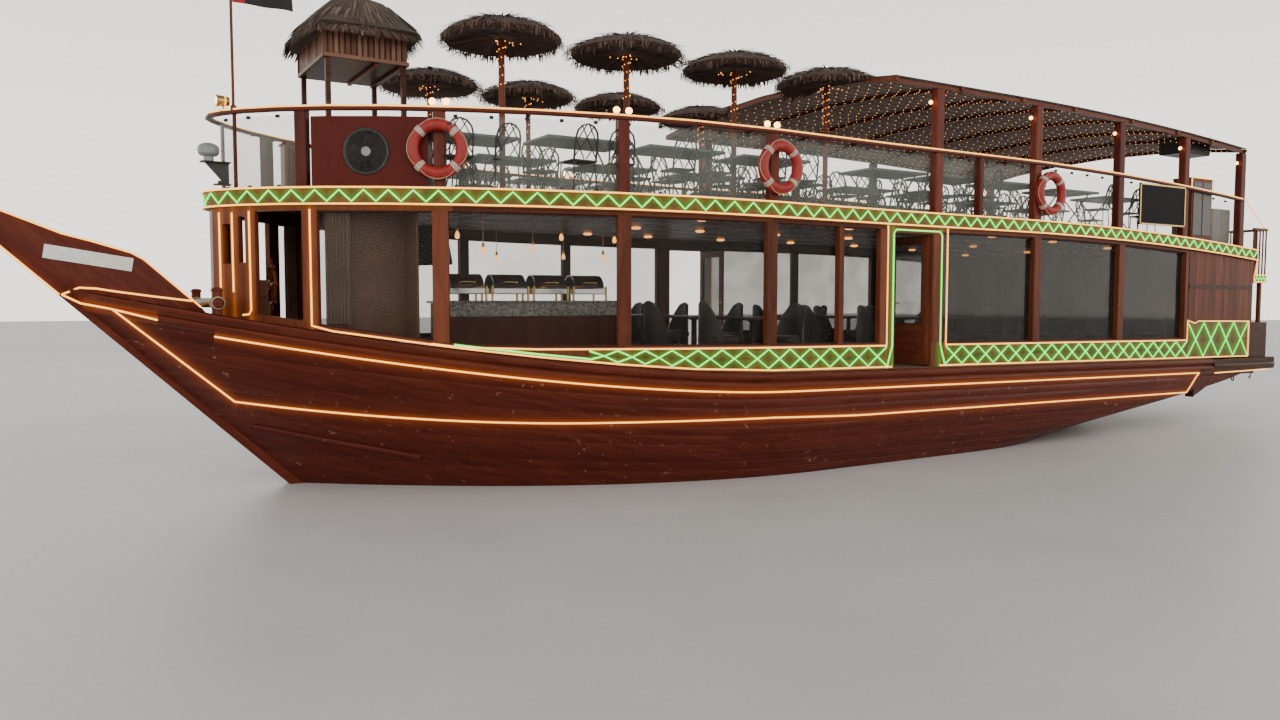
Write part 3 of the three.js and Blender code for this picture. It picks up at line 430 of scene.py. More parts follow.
# Timber: broad figure and fine fibres stretched along the grain, with a tone for each board, and where glow
# is given, the rope lights' light painted on as emission.
def timber(name, tones, grain=True, along=0, roughness=0.42, coat=0.05, wear=0.0, seams=0.0, glow=None):
    look = Look(name, shine=0.12)
    # Painted light: the glow colour is the rope lights' light painted into the timber.
    if glow:
        look.settle(glow=glow(look), strength=1.0)
    stretch = [9.0, 9.0, 9.0]
    stretch[along] = 1.0
    figure = look.noise(look.place(stretch, grain), 1.3, 5, 0.6, 0.8)
    pores = look.noise(look.place([8 * k for k in stretch], grain), 3.0, 3, 0.7)
    shade = figure * 0.56 + pores * 0.26 + 0.06
    if grain:
        shade = shade + look.tone()
    else:
        shade = shade + look.noise(look.place((0.5, 0.5, 0.5), grain), 1.0, 2) * 0.2 - 0.08
    color = look.ramp(shade, [(0.3, tones[0]), (0.47, tones[1]), (0.68, tones[2])])
    height = pores * 0.6 + figure * 0.4
    if wear:
        chips = look.noise(look.place((2.2, 2.2, 2.2), False), 3.4, 8, 0.72)
        worn = look.span(chips, 0.64 - 0.05 * wear, 0.69 - 0.05 * wear)
        color = look.blend(worn * 0.7, color, (0.30, 0.17, 0.11))
        height = height - worn * 0.8
    if seams:
        across = look.axis(look.spot(), "XYZ"[1 if along == 0 else 0]).folded(seams)
        joint = look.span(across, 0.0, 0.004)
        color = look.blend(joint, tuple(0.25 * k for k in tones[0]), color)
        height = height * 0.3 + joint
    look.settle(color=color, normal=look.bump(height, 0.0015))
    return look.settle(roughness=roughness + (pores - 0.5) * 0.18, coat=coat, coatRoughness=0.18)


# A surface of one paint or metal with fine mottle, dust and small bumps.
def coated(name, color, roughness=0.45, metal=0.0, mottle=0.25, size=30.0, depth=0.0005, **settings):
    look = Look(name, metal=metal, **settings)
    cloud = look.noise(look.spot(), size, 6, 0.65)
    dark = tuple(k * (1 - mottle) for k in color)
    bright = tuple(min(1, k * (1 + mottle)) for k in color)
    paint = look.ramp(cloud, [(0.35, dark), (0.65, bright)])
    look.settle(color=paint, normal=look.bump(cloud, depth))
    return look.settle(roughness=roughness + (cloud - 0.5) * 0.25)


# A light: pale along the front of its tube, deep in colour at the flanks, faintly beaded.
def lamp(name, core, edge, strength):
    look = Look(name, roughness=0.4, strength=strength)
    beads = look.noise(look.spot(), 60.0, 2)
    across = look.axis(look.place(), "Y")
    front = look.span(across * across, 0.00001, 0.00008)
    glow = look.blend(front, edge, look.ramp(beads, [(0.3, tuple(0.8 * k for k in core)), (0.6, core)]))
    return look.settle(color=glow, glow=glow)


# Clear or smoky glass with a thin film of dust.
def clear(name, color, alpha, shine=0.5, roughness=0.04):
    look = Look(name, roughness=roughness, shine=shine)
    film = look.noise(look.spot(), 1.6, 5, 0.6)
    tint = look.ramp(film, [(0.3, color), (0.7, tuple(min(1, 1.3 * k) for k in color))])
    return look.settle(color=tint, alpha=look.span(film, 0.3, 0.7, alpha * 0.85, alpha * 1.15))


# Painted light that the ropes throw on the hull, given as glow: distance to the high line, the low line and
# the bow's slant.
def hullGlow(look):
    place = look.spot()
    x, z = look.axis(place, "X"), look.axis(place, "Z")
    rise = ((x - 2).most(0) * (1 / 8.3)) ** 1.7
    high = (z - (x * 0.0145 + rise + 1.197)).size()
    climb = look.span(x, 0.5, 2.0, 0.0, 0.04) + ((x - 4.6).most(0) * (1 / 4.02)) ** 2 * 0.26
    low = (z - (x * 0.012 + 0.8008 + climb)).size()
    high = high + x.over(8.9) + (-8.6 - x).over(0)
    low = low + x.over(8.62) + (-8.24 - x).over(0)
    slant = ((z - 1.204) * 0.748 - (x - 8.617) * 0.663).size() + (8.58 - x).over(0) + x.over(9.96)
    short = (z - (x * 0.0145 + rise + 1.31)).size() + (9.49 - x).over(0) + x.over(10.3)
    nearest = high.least(low).least(slant).least(short)
    return look.blend(nearest.near(0.036), (0, 0, 0), (0.30, 0.056, 0.005))


# Painted light on the house walls, given as glow: upright ropes at the wheelhouse and the doors, and the
# line over the windows.
def wallGlow(look):
    place = look.spot()
    x, z = look.axis(place, "X"), look.axis(place, "Z")
    warm = (x - 7.812).size()
    for line in (8.42, 8.585, 8.705, -0.19, -1.5):
        warm = warm.least((x - line).size())
    warm = warm + (2.0 - z).over(0) * x.over(3)
    green = (x + 0.31).size().least((x + 1.37).size())
    sides = look.blend(warm.near(0.024), (0, 0, 0), (0.30, 0.070, 0.006))
    sides = look.blend(green.near(0.04), sides, (0.02, 0.30, 0.02))
    head = (z - (x.most(0) * 0.0055 + 3.63)).size().near(0.045)
    plan = ((x - 2).most(0) * (1 / 6.8)) ** 1.8 + (look.axis(place, "Y").size() * (1 / 3.15)) ** 1.538
    return look.blend(plan.over(0.985), (0, 0, 0), look.blend(head * 0.5, sides, (0.34, 0.10, 0.010)))


hullTones = [(0.040, 0.0062, 0.0030), (0.073, 0.0115, 0.0055), (0.118, 0.023, 0.011)]
redTones = [(0.056, 0.0095, 0.0055), (0.100, 0.0185, 0.0100), (0.165, 0.038, 0.020)]
houseTones = [(0.062, 0.0150, 0.0078), (0.120, 0.031, 0.014), (0.20, 0.058, 0.027)]
darkTones = [(0.022, 0.008, 0.005), (0.048, 0.016, 0.010), (0.095, 0.035, 0.021)]
slatTones = [(0.080, 0.034, 0.021), (0.155, 0.072, 0.046), (0.25, 0.135, 0.092)]
waleTones = [(0.050, 0.0085, 0.0042), (0.100, 0.019, 0.009), (0.17, 0.038, 0.017)]
teakTones = [(0.10, 0.055, 0.033), (0.19, 0.11, 0.068), (0.30, 0.19, 0.125)]
# hullWood and waleWood carry the hull ropes' light painted on as glow.
hullWood = timber("hullWood", hullTones, coat=0.06, wear=0.4, glow=hullGlow)
waleWood = timber("waleWood", waleTones, glow=hullGlow)
redWood = timber("redWood", redTones)
boardWood = timber("boardWood", houseTones)
railWood = timber("railWood", redTones, coat=0.08)
slatWood = timber("slatWood", slatTones)
darkWood = timber("darkWood", darkTones, roughness=0.45, coat=0.1)
# wallWood carries the wall ropes' light painted on as glow.
wallWood = timber("wallWood", houseTones, grain=False, along=2, glow=wallGlow)
postWood = timber("postWood", houseTones, grain=False, along=2)
beamWood = timber("beamWood", houseTones, grain=False, along=0)
oldWood = timber("oldWood", darkTones, grain=False, along=0, roughness=0.5, coat=0.1)
deckWood = timber("deckWood", teakTones, grain=False, along=0, roughness=0.6, coat=0.0, seams=0.14)
ironDark = coated("ironDark", (0.05, 0.048, 0.045), 0.5, 0.6, 0.4)
brass = coated("brass", (0.62, 0.42, 0.15), 0.3, 1.0, 0.2)
bronze = coated("bronze", (0.45, 0.30, 0.13), 0.38, 1.0, 0.35)
blackPaint = coated("blackPaint", (0.012, 0.012, 0.013), 0.4, 0.0, 0.4)
boardPaint = coated("boardPaint", (0.010, 0.010, 0.011), 0.6, 0.0, 0.15, 6.0, shine=0.08)
whitePaint = coated("whitePaint", (0.78, 0.77, 0.73), 0.4, 0.0, 0.08, 12.0)
greyTop = coated("greyTop", (0.23, 0.24, 0.25), 0.35, 0.0, 0.2, 8.0)
redShell = coated("redShell", (0.29, 0.014, 0.010), 0.42, 0.0, 0.22, 14.0, 0.001)
paleBand = coated("paleBand", (0.45, 0.36, 0.30), 0.55, 0.0, 0.3, 40.0)
fanPaint = coated("fanPaint", (0.088, 0.0135, 0.0095), 0.45, 0.0, 0.12, 6.0, shine=0.12)
slate = coated("slate", (0.060, 0.055, 0.055), 0.4, 0.0, 0.2, 10.0)
taupe = coated("taupe", (0.17, 0.13, 0.11), 0.5, 0.0, 0.15, 10.0)
tableGrey = coated("tableGrey", (0.085, 0.10, 0.105), 0.4, 0.0, 0.15, 8.0, shine=0.3)
ropeLook = coated("ropeLook", (0.42, 0.33, 0.21), 0.85, 0.0, 0.4, 180.0, 0.003)
leather = coated("leather", (0.020, 0.014, 0.011), 0.45, 0.0, 0.4, 90.0, 0.001, sheen=0.2)
warmLight = lamp("warmLight", (0.85, 0.47, 0.10), (0.55, 0.15, 0.008), 3.0)
greenLight = lamp("greenLight", (0.20, 0.88, 0.14), (0.03, 0.50, 0.03), 2.6)
bulbLight = lamp("bulbLight", (1.0, 0.50, 0.16), (1.0, 0.50, 0.16), 9.0)
dimBulb = lamp("dimBulb", (1.0, 0.42, 0.10), (1.0, 0.42, 0.10), 3.0)
saloonGlass = clear("saloonGlass", (0.020, 0.020, 0.018), 0.16, 0.3)
aftGlass = clear("aftGlass", (0.022, 0.020, 0.017), 0.45)
railGlass = clear("railGlass", (0.36, 0.41, 0.37), 0.12, 0.2, 0.2)
paneGlass = clear("paneGlass", (0.10, 0.11, 0.105), 0.3)


def thatchLook(name, tones):
    look = Look(name, sheen=0.1)
    straw = look.noise(look.place((4, 60, 60)), 2.0, 3, 0.7)
    color = look.ramp(straw * 0.7 + look.tone(), [(0.15, tones[0]), (0.4, tones[1]), (0.75, tones[2])])
    return look.settle(color=color, roughness=0.92 - straw * 0.1, normal=look.bump(straw, 0.003, 0.8))


thatch = thatchLook("thatch", [(0.022, 0.011, 0.007), (0.085, 0.043, 0.028), (0.22, 0.13, 0.088)])
hutThatch = thatchLook("hutThatch", [(0.024, 0.013, 0.009), (0.085, 0.052, 0.036), (0.23, 0.165, 0.12)])


# Cloth: two crossed thread waves, with holes between the threads where it is a net.
def clothLook(name, color, threads, open=0.0):
    look = Look(name, sheen=0.3)
    place = look.spot()
    warp = look.axis(place, "X").folded(2 / threads) * threads
    weft = look.axis(place, "Y").folded(2 / threads) * threads
    weave = warp * 0.5 + weft * 0.5
    cloud = look.noise(place, 2.3, 5, 0.6)
    shade = look.ramp(weave * 0.3 + cloud * 0.6, [(0.25, tuple(0.6 * k for k in color)), (0.65, color)])
    look.settle(color=shade, roughness=0.85 + (cloud - 0.5) * 0.15, normal=look.bump(weave, 0.001))
    if open:
        look.settle(alpha=look.span(cloud, 0.3, 0.7, 1 - open * 1.2, 1 - open * 0.8))
    return look.material


netCloth = clothLook("netCloth", (0.20, 0.078, 0.040), 60.0, open=0.05)
print("looks ready")


# Hull form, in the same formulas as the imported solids.
def sheer(x):
    return 1.472 + 0.0145 * x + (np.maximum(0, x - 2) / 8.3) ** 1.7


def stemX(z):
    return 7.79 + 1.02 * z - np.where(z < 0, 0.3 * z * z, 0)


def sternX(z):
    return -8.05 - 3.3 * np.clip((z + 0.3) / 1.45, 0, 1) ** 1.4


# Section shape times how full the bow and the stern are at that height.
def halfBreadth(x, z):
    depth = np.clip((1.45 - z) / 2.95, 0, 1)
    section = 3.3 * (1 - (0.98 * depth) ** 3) ** 0.6
    entry = np.clip((x - 1) / (stemX(z) - 1), 0, 1)
    t = np.clip((z + 0.2) / 1.4, 0, 1)
    fullness = t * t * (3 - 2 * t)
    runStart = -2 - 8.7 * fullness
    run = np.clip((runStart - x) / (runStart - sternX(z)), 0, 1)
    bow = (1 - entry**2) ** (0.8 + 0.45 * depth)
    stern = (1 - run ** (1.8 + 0.6 * fullness)) ** (1 - 0.55 * fullness)
    return np.maximum(0.06, section * bow * stern)


houseSet = {
    "half": 3.15, "bend": 2.0, "nose": 8.8, "aft": -10.85, "fascia": 0.23, "rail": 0.975, "canopy": 2.02,
}
noseY = np.array([0.12, 0.35, 0.65, 1.0, 1.4, 1.8, 2.2, 2.55, 2.85, 3.05, houseSet["half"]])
roundX = houseSet["bend"] + (houseSet["nose"] - houseSet["bend"]) * (
    1 - (noseY / houseSet["half"]) ** (1 / 0.65)
) ** (1 / 1.8)
planX = np.concatenate([roundX[:1], roundX, np.linspace(houseSet["bend"], houseSet["aft"], 12)[1:]])
planY = np.concatenate([[0], noseY, np.full(11, houseSet["half"])])
planWalk = np.concatenate([[0], np.cumsum(np.hypot(np.diff(planX), np.diff(planY)))])
planTurn = np.arctan2(np.diff(planY), np.diff(planX))
turnIn = np.concatenate([[math.pi / 2], planTurn])
turnOut = np.concatenate([planTurn, planTurn[-1:]])
normalX = np.sin((turnIn + turnOut) / 2) / np.cos((turnOut - turnIn) / 2)
normalY = -np.cos((turnIn + turnOut) / 2) / np.cos((turnOut - turnIn) / 2)


# Places along the deckhouse plan at distance s from the nose (negative to starboard), pushed out.
def planPoints(s, out, z):
    s = np.asarray(s, float)
    d = np.abs(s)
    x = np.interp(d, planWalk, planX) + out * np.interp(d, planWalk, normalX)
    y = np.interp(d, planWalk, planY) + out * np.interp(d, planWalk, normalY)
    return coords(x, np.where(s < 0, -1, 1) * y, z)


# The outward direction there, square to the plan.
def planNormal(s):
    return planPoints(s, 1.0, 0.0) - planPoints(s, 0.0, 0.0)


def alongAt(x):
    return np.interp(-np.asarray(x, float), -planX, planWalk)


def walkTo(x):
    return float(alongAt(x))


def onWalk(heights, s):
    return np.interp(np.abs(s), planWalk, heights)


def deckAt(s):
    return onWalk(3.852 + 0.0055 * np.maximum(planX, 0) - 0.005 * np.maximum(0, -3 - planX) ** 2, s)


def deckOver(x):
    return float(deckAt(alongAt(x)))


# A height line moved up or down.
def shifted(line, rise):
    return lambda s: line(s) + rise


headAt = shifted(deckAt, -houseSet["fascia"])
railAt = shifted(deckAt, houseSet["rail"])


def sillAt(s):
    return onWalk(np.maximum(sheer(planX) + 0.015, 1.8 + 0.012 * planX), s)


def footAt(s):
    return onWalk(sheer(planX), s)


# Distances from s0 to s1 with the plan's own corners among them.
def planRun(s0, s1, step=0.3):
    knots = np.concatenate([-planWalk[::-1], planWalk])
    knots = knots[(knots > min(s0, s1) + 0.01) & (knots < max(s0, s1) - 0.01)]
    even = np.linspace(s0, s1, max(2, int(abs(s1 - s0) / step) + 1))
    return np.unique(np.concatenate([knots, even]))


# A section of [offset, height line] corners carried along the plan.
def moulding(s0, s1, section, step=0.3):
    s = planRun(s0, s1, step)
    rings = np.stack([planPoints(s, out, line(s)) for out, line in section], 1)
    across = np.cumsum([0] + [0.05] * (len(section) - 1))
    grain = coords((s - s[0])[:, None], across[None], 0.0)
    return skin(rings, grain)


def bothSides(*shapes):
    whole = merged(*shapes)
    return merged(whole, whole.mirrored())


rng = np.random.default_rng(11)


def tones(count, spread=0.13):
    return rng.uniform(-spread, spread, count)


def oneTone(spread=0.13):
    return float(tones(1, spread)[0])


hullSet = {"stations": 170, "strakes": 24, "groove": 0.004, "roomFore": -9.1, "roomLow": 1.055}


# Rings from keel to sheer and over the deck: heights run in strakes with a groove at each seam.
def hullShape(stations, strakes, groove, roomFore, roomLow):
    t = np.linspace(0, 1, stations)
    station = (0.5 * t + 0.5 * (0.5 - 0.5 * np.cos(math.pi * t)))[:, None]
    inStrake = np.array([0, 0.05, 0.5, 0.95])
    level = np.append((np.arange(strakes)[:, None] + inStrake).ravel() / strakes, 1.0)[None]
    push = np.where((np.arange(level.size) % 4 == 0) & (level[0] > 0) & (level[0] < 1), -groove, 0)
    x = -8.05 + 15.84 * station + 0 * level
    for _ in range(14):
        z = -1.5 + (sheer(x) + 1.5) * level
        x = sternX(z) + (stemX(z) - sternX(z)) * station
    z = np.where(x < roomFore, np.minimum(z, roomLow), z)
    y = np.maximum(0.05, halfBreadth(x, z) + push)
    port, starboard = coords(x, y, z), coords(x, -y, z)[:, ::-1]
    girth = np.cumsum(np.hypot(np.diff(y, axis=1, prepend=0), np.diff(z, axis=1, prepend=-1.5)), 1)
    strake = np.broadcast_to(np.floor(level * strakes - 1e-6), x.shape)
    tone = rng.uniform(-0.06, 0.06, strakes + 1)[strake.astype(int)]
    grain = coords(x, girth, strake * 0.37)
    rings = np.concatenate([port, starboard], 1)
    grain = np.concatenate([grain, grain[:, ::-1] + (0, 9, 0)], 1)
    shape = skin(rings, grain, tone=np.concatenate([tone, tone[:, ::-1]], 1).ravel())
    columns = 2 * level.size
    pick = np.zeros(len(shape.quads), int)
    pick[np.arange(stations - 1) * columns + level.size - 1] = 1
    return shape, pick


hullMesh, hullPick = hullShape(**hullSet)
piece("hullPlanking", hullMesh, hullWood, stands=["hull"], looks=[deckWood], pick=hullPick)

trunkSet = {"x": -9.1, "low": 0.26, "high": 0.95, "radius": 0.11}


def rudderTrunk(x, low, high, radius):
    line = [[0.07, low], [radius - 0.002, low], [radius, 0.3], [radius, high], [0.02, high]]
    return lathe(line, 24, (x, 0, 0))


piece("rudderTrunk", rudderTrunk(**trunkSet), oldWood)

# Stem timber: a rounded board whose sections run from its leading edge to its inner edge.
stemSet = {"thick": 0.15, "lead": 0.095, "round": 0.02}
headTop = np.array([
    [11.70, 3.96], [11.42, 3.745], [11.05, 3.56], [10.44, 3.31], [10.12, 3.225], [9.71, 3.10],
    [9.57, 3.02], [8.93, 2.42], [8.3, 1.6], [7.0, 0.2], [5.3, -1.2],
])


def stemShape(thick, lead, round):
    z = np.array([3.88, 3.60, 3.32, 2.95, 2.75, 2.55, 2.3, 1.7, 0.95, -0.35, -1.69])
    t = np.linspace(0, len(z) - 1, 60)
    knots = np.arange(len(z))
    z = np.interp(t, knots, z)
    front = np.stack([stemX(z) + lead, z], -1)
    back = np.stack([np.interp(t, knots, line) for line in headTop.T], -1)
    across = back - front
    span = np.linalg.norm(across, axis=1)[:, None]
    across = across / span
    corner = boxSection(1.0, thick, round, 2)
    reach = (corner[:, 0] + 0.5)[None]
    reach = np.where(reach < 0.5, reach, span - (1 - reach))
    x = front[:, :1] + across[:, :1] * reach
    zz = front[:, 1:] + across[:, 1:] * reach
    y = np.broadcast_to(corner[:, 1], x.shape)
    run = np.cumsum(np.linalg.norm(np.diff(front, axis=0, prepend=front[:1]), axis=1))
    return skin(coords(x, y, zz), coords(run[:, None], reach, y))


piece("stemTimber", stemShape(**stemSet), redWood, stands=["stem"])

# Wales: two half-rounds on one strake under the sheer.
waleSet = {"fore": 10.25, "aft": -9.09, "proud": 0.055, "rows": 90}


def waleShape(fore, aft, proud, rows):
    x = np.linspace(fore, aft, rows)[:, None]
    a = np.linspace(0, math.pi, 7)
    drop = np.concatenate([0.19 - 0.058 * np.cos(a[::-1]), 0.068 - 0.058 * np.cos(a[::-1])])[::-1]
    out = np.tile(0.012 + proud * 0.78 * np.sin(a), 2)
    drop = np.concatenate([[0.012], drop, [0.248]])
    out = np.concatenate([[-0.03], out, [-0.03]])
    order = np.argsort(drop, kind="stable")
    z = sheer(x) - drop[order][None]
    y = halfBreadth(x, z) + out[order][None] * np.clip((fore - x) / 0.14, 0.1, 1)
    return skin(coords(x, y, z), coords(x, z * 0 + drop[order], 0.0))


wale = waleShape(**waleSet)
twins(("walePort", "waleStarboard"), wale, waleWood, (["wale_port"], ["wale_starboard"]), sharp=50)

# Spray strake low on the bow.
spray = np.linspace(8.35, 6.5, 24)
sprayZ = np.interp(spray, [6.5, 8.35], [0.44, 0.85])
sprayPath = coords(spray, halfBreadth(spray, sprayZ) + 0.012, sprayZ)
piece("sprayStrakes", bothSides(sweep(sprayPath, boxSection(0.05, 0.06, 0.015, 2))), hullWood)
print("hull done")

# Rope lights: round tubes that follow the hull, the walls and the rails.
lightSet = {"radius": 0.013, "sides": 6, "off": 0.010}


def rope(points, radius=lightSet["radius"]):
    return tube(points, radius, lightSet["sides"])


def hullRope(x, z, out=0.012):
    x, z = np.asarray(x, float), np.asarray(z, float)
    return rope(coords(x, halfBreadth(x, z) + out, z))


def highLight(x):
    return sheer(x) - 0.275


def lowLight(x):
    rise = 0.04 * np.clip((x - 0.5) / 1.5, 0, 1) + 0.26 * (np.maximum(0, x - 4.6) / 4.02) ** 2
    return 0.7 + 0.012 * (x + 8.4) + rise


def resampled(corners, step=0.15):
    corners = np.asarray(corners, float)
    walk = np.concatenate([[0], np.cumsum(np.linalg.norm(np.diff(corners, axis=0), axis=1))])
    s = np.unique(np.concatenate([walk, np.linspace(0, walk[-1], int(walk[-1] / step) + 2)]))
    return np.stack([np.interp(s, walk, corners[:, k]) for k in range(corners.shape[1])], -1)


lowX = np.linspace(8.617, -8.24, 70)
highX = np.linspace(-8.6, 8.9, 70)
loop = np.concatenate([
    [[9.955, 2.392]],
    np.stack([lowX, lowLight(lowX)], -1),
    np.stack([highX, highLight(highX)], -1),
])
loop = resampled(loop, 0.1)
waleOut = np.interp(loop[:, 1] - sheer(loop[:, 0]), [-0.30, -0.22], [0.012, 0.066])
hullLoop = hullRope(loop[:, 0], loop[:, 1], waleOut)
loopNodes = (["hull_lights_port"], ["hull_lights_starboard"])
twins(("hullLightPort", "hullLightStarboard"), hullLoop, warmLight, loopNodes)

# Lights on the stem head: its upper edge, its lower edge and the lines where it meets the bow.
side = stemSet["thick"] / 2 + 0.010
lead = np.linspace(3.86, 2.564, 14)
headLines = [
    coords(headTop[:8, 0], side, headTop[:8, 1] - 0.012),
    coords(stemX(lead) + stemSet["lead"] - 0.012, side, lead),
]
innerX = np.array([10.464, 10.28, 10.10, 9.893, 9.513, 9.03])
innerZ = np.array([2.564, 2.648, 2.639, 2.604, 2.549, 2.486])
headLines.append(coords(innerX, side + 0.014, innerZ))
shortX = np.concatenate([[10.464], np.linspace(10.27, 9.49, 9)])
shortZ = sheer(shortX) - np.interp(shortX, [9.49, 9.955], [0.19, 0.155])
shortZ[0] = innerZ[0]
headLines.append(coords(shortX, np.maximum(side, halfBreadth(shortX, shortZ) + 0.066), shortZ))
sternEdge = coords([-9.2, -10.2, -11.3], 3.30, 1.045)
piece("headLights", bothSides([rope(resampled(p, 0.12)) for p in headLines]), warmLight)
piece("sternLights", bothSides(rope(sternEdge)), warmLight)

# Zigzag along the edge board between its two lit beads.
fasciaSet = {"pitch": 0.30, "out": 0.060, "bead": 0.074, "inset": 0.045}
houseEnd = planWalk[-1]


def zigzag(s, low, high, out, phase=0):
    s = np.asarray(s, float)
    fine = np.linspace(0, len(s) - 1, (len(s) - 1) * 2 + 1)
    walk = np.interp(fine, np.arange(len(s)), s)
    swing = np.interp(fine, np.arange(len(s)), (np.arange(len(s)) + phase) % 2)
    z = low(walk) + (high(walk) - low(walk)) * swing
    return rope(planPoints(walk, out, z), radius=0.0125)


fasciaRun = planRun(-houseEnd, houseEnd)
beadOut = fasciaSet["bead"] + lightSet["off"]
fasciaBeads = [
    rope(planPoints(fasciaRun, beadOut, headAt(fasciaRun) + 0.014)),
    rope(planPoints(fasciaRun, beadOut, deckAt(fasciaRun) - 0.014)),
]
piece("fasciaLights", merged(fasciaBeads), warmLight)
teeth = int(2 * houseEnd / (fasciaSet["pitch"] / 2))
zigRun = np.linspace(-houseEnd + 0.02, houseEnd - 0.02, teeth + 1)
foot, head = shifted(headAt, fasciaSet["inset"]), shifted(deckAt, -fasciaSet["inset"])
piece("fasciaZigzag", zigzag(zigRun, foot, head, fasciaSet["out"] + 0.0105), greenLight)

# Handrail light on top of the capping rail, stepping up over the aft cabinet.
railEnd = walkTo(-10.33)
railRun = planRun(-railEnd, railEnd)
railLine = planPoints(railRun, -0.002, railAt(railRun) + 0.012)
railSlope = coords([-10.5, -11.0, -11.34], 3.12, [4.56, 4.20, 3.98])
stepZ = [railAt(alongAt(-8.5)) + 0.012, 4.895, 4.895, railAt(alongAt(-9.3)) + 0.012]
cabinetStep = coords([-8.52, -8.52, -9.3, -9.3], 3.095, stepZ)
railLights = [rope(railLine), rope(resampled(railSlope)), rope(resampled(cabinetStep, 0.1))]
piece("railLights", merged(railLights), warmLight)

# The stern landing's edge: two lit lines with a zigzag between, joined to the edge board's end.
landingSet = {"fore": -10.875, "aft": -11.385, "face": 3.1505, "low": 2.875, "high": 3.017}
fore, aft, face, low, high = landingSet.values()
face += lightSet["off"]
tip = planPoints([houseEnd - 0.02], beadOut, headAt(houseEnd - 0.02) + 0.014)[0]
landingLines = [
    coords([fore, aft], face, high),
    np.array([tip, [fore, face, high - 0.03], [fore, face, low], [aft, face, low]]),
]
toothZ = np.where(np.arange(8) % 2, high - 0.03, low + 0.03)
landingTeeth = coords(np.linspace(fore - 0.04, aft + 0.02, 8), face, toothZ)
piece("landingLights", merged([rope(resampled(p, 0.12)) for p in landingLines]), warmLight)
piece("landingZigzag", rope(landingTeeth, radius=0.0125), greenLight)

# Band between the deck line and the window sills: two lit lines with crossed zigzags between.
bandSet = {
    "fore": 4.70, "pitch": 0.385, "out": 0.0115, "inset": 0.023,
    "tallFore": -8.41, "tallAft": -10.72, "tallTop": 2.07, "tallCells": 4,
}
doorSet = {"warm": (-0.19, -1.50), "green": (-0.31, -1.37)}


def wallLine(x0, x1, height):
    s = planRun(walkTo(x0), walkTo(x1), 0.25)
    return rope(planPoints(s, bandSet["out"], height(s)))


sillLight, footLight = shifted(sillAt, 0.012), shifted(footAt, 0.018)


def crossed(x0, x1, cells, low, high):
    s = np.linspace(walkTo(x0), walkTo(x1), cells + 1)
    foot, head = shifted(low, bandSet["inset"]), shifted(high, -bandSet["inset"])
    return [zigzag(s, foot, head, bandSet["out"], phase) for phase in (0, 1)]


tallEnds = (bandSet["tallFore"] - 0.03, bandSet["tallAft"] + 0.03)
foreCells = round((walkTo(doorSet["warm"][0]) - walkTo(bandSet["fore"])) / bandSet["pitch"])
aftCells = round((walkTo(bandSet["tallFore"]) - walkTo(doorSet["warm"][1])) / bandSet["pitch"])


def tallLine(s):
    return 0 * s + bandSet["tallTop"]


crosses = [
    *crossed(bandSet["fore"], doorSet["warm"][0], foreCells, footLight, sillLight),
    *crossed(doorSet["warm"][1], bandSet["tallFore"], aftCells, footLight, sillLight),
    *crossed(*tallEnds, bandSet["tallCells"], footLight, tallLine),
    wallLine(6.3, bandSet["fore"], shifted(footLight, 0.034)),
]
piece("latticeLights", bothSides(crosses), greenLight)
headUnder = float(headAt(alongAt(-0.2))) + 0.01


def wallTube(xs, zs):
    x, z = resampled(np.stack([xs, zs], -1), 0.12).T
    return rope(planPoints(alongAt(x), bandSet["out"], z))


def ropeHeight(line, x):
    return float(line(alongAt(x)))


warmWalls = [
    wallLine(6.55, doorSet["warm"][0], sillLight),
    wallLine(6.55, doorSet["green"][0], footLight),
    wallLine(doorSet["green"][1], bandSet["tallAft"], footLight),
    wallLine(doorSet["warm"][1], bandSet["tallFore"], sillLight),
    *(wallTube([x, x], [ropeHeight(sillLight, x), headUnder]) for x in doorSet["warm"]),
    wallTube(
        [-8.41, -8.41, -8.52, -8.68, -8.8, -10.72, -10.72],
        [ropeHeight(sillLight, -8.4), 2.10, 2.075, 2.04, 2.08, 2.06, ropeHeight(footLight, -10.72)],
    ),
    wallTube([7.812, 7.812, 7.6, 6.55], [3.62, 2.18, *(ropeHeight(footLight, x) for x in (7.6, 6.55))]),
    wallTube([8.42, 8.42, 8.44, 8.50], [3.61, 2.36, 2.32, 2.31]),
    wallTube([8.585, 8.585], [3.60, 2.60]),
    wallTube([8.705, 8.705], [3.61, 2.62]),
]
piece("wallLights", bothSides(warmWalls), warmLight)
greenDoor = wallTube(
    [-0.20, -0.31, -0.31, -0.36, -1.32, -1.37, -1.37, -1.49],
    [1.47, 1.80, 3.51, 3.565, 3.565, 3.51, 1.80, 1.47],
)
piece("doorLights", bothSides(greenDoor), greenLight)
print("rope lights done")

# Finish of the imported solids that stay.
for look, names in (
    (oldWood, "keel rudder stern_platform hut_frame"),
    (whitePaint, "name_plate_port name_plate_starboard"),
    (wallWood, "wall_port wall_starboard wall_front wall_aft door_port door_starboard"),
    (beamWood, "fascia stern_landing canopy_frame wheel_stand aft_cabinet"),
    (postWood, "serving_counter flagpole ship_wheel"),
    (deckWood, "upper_deck"),
    (saloonGlass, "glass_forward_port glass_forward_starboard"),
    (aftGlass, "glass_aft_port glass_aft_starboard"),
    (railGlass, "rail_glass_port rail_glass_quarter rail_glass_bow"),
    (boardPaint, "sign_board"),
    (fanPaint, "fan_housing"),
    (ironDark, "fan_rotor"),
    (bronze, "propeller"),
):
    for name in names.split():
        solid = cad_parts[name].data
        solid.materials.clear()
        solid.materials.append(look)

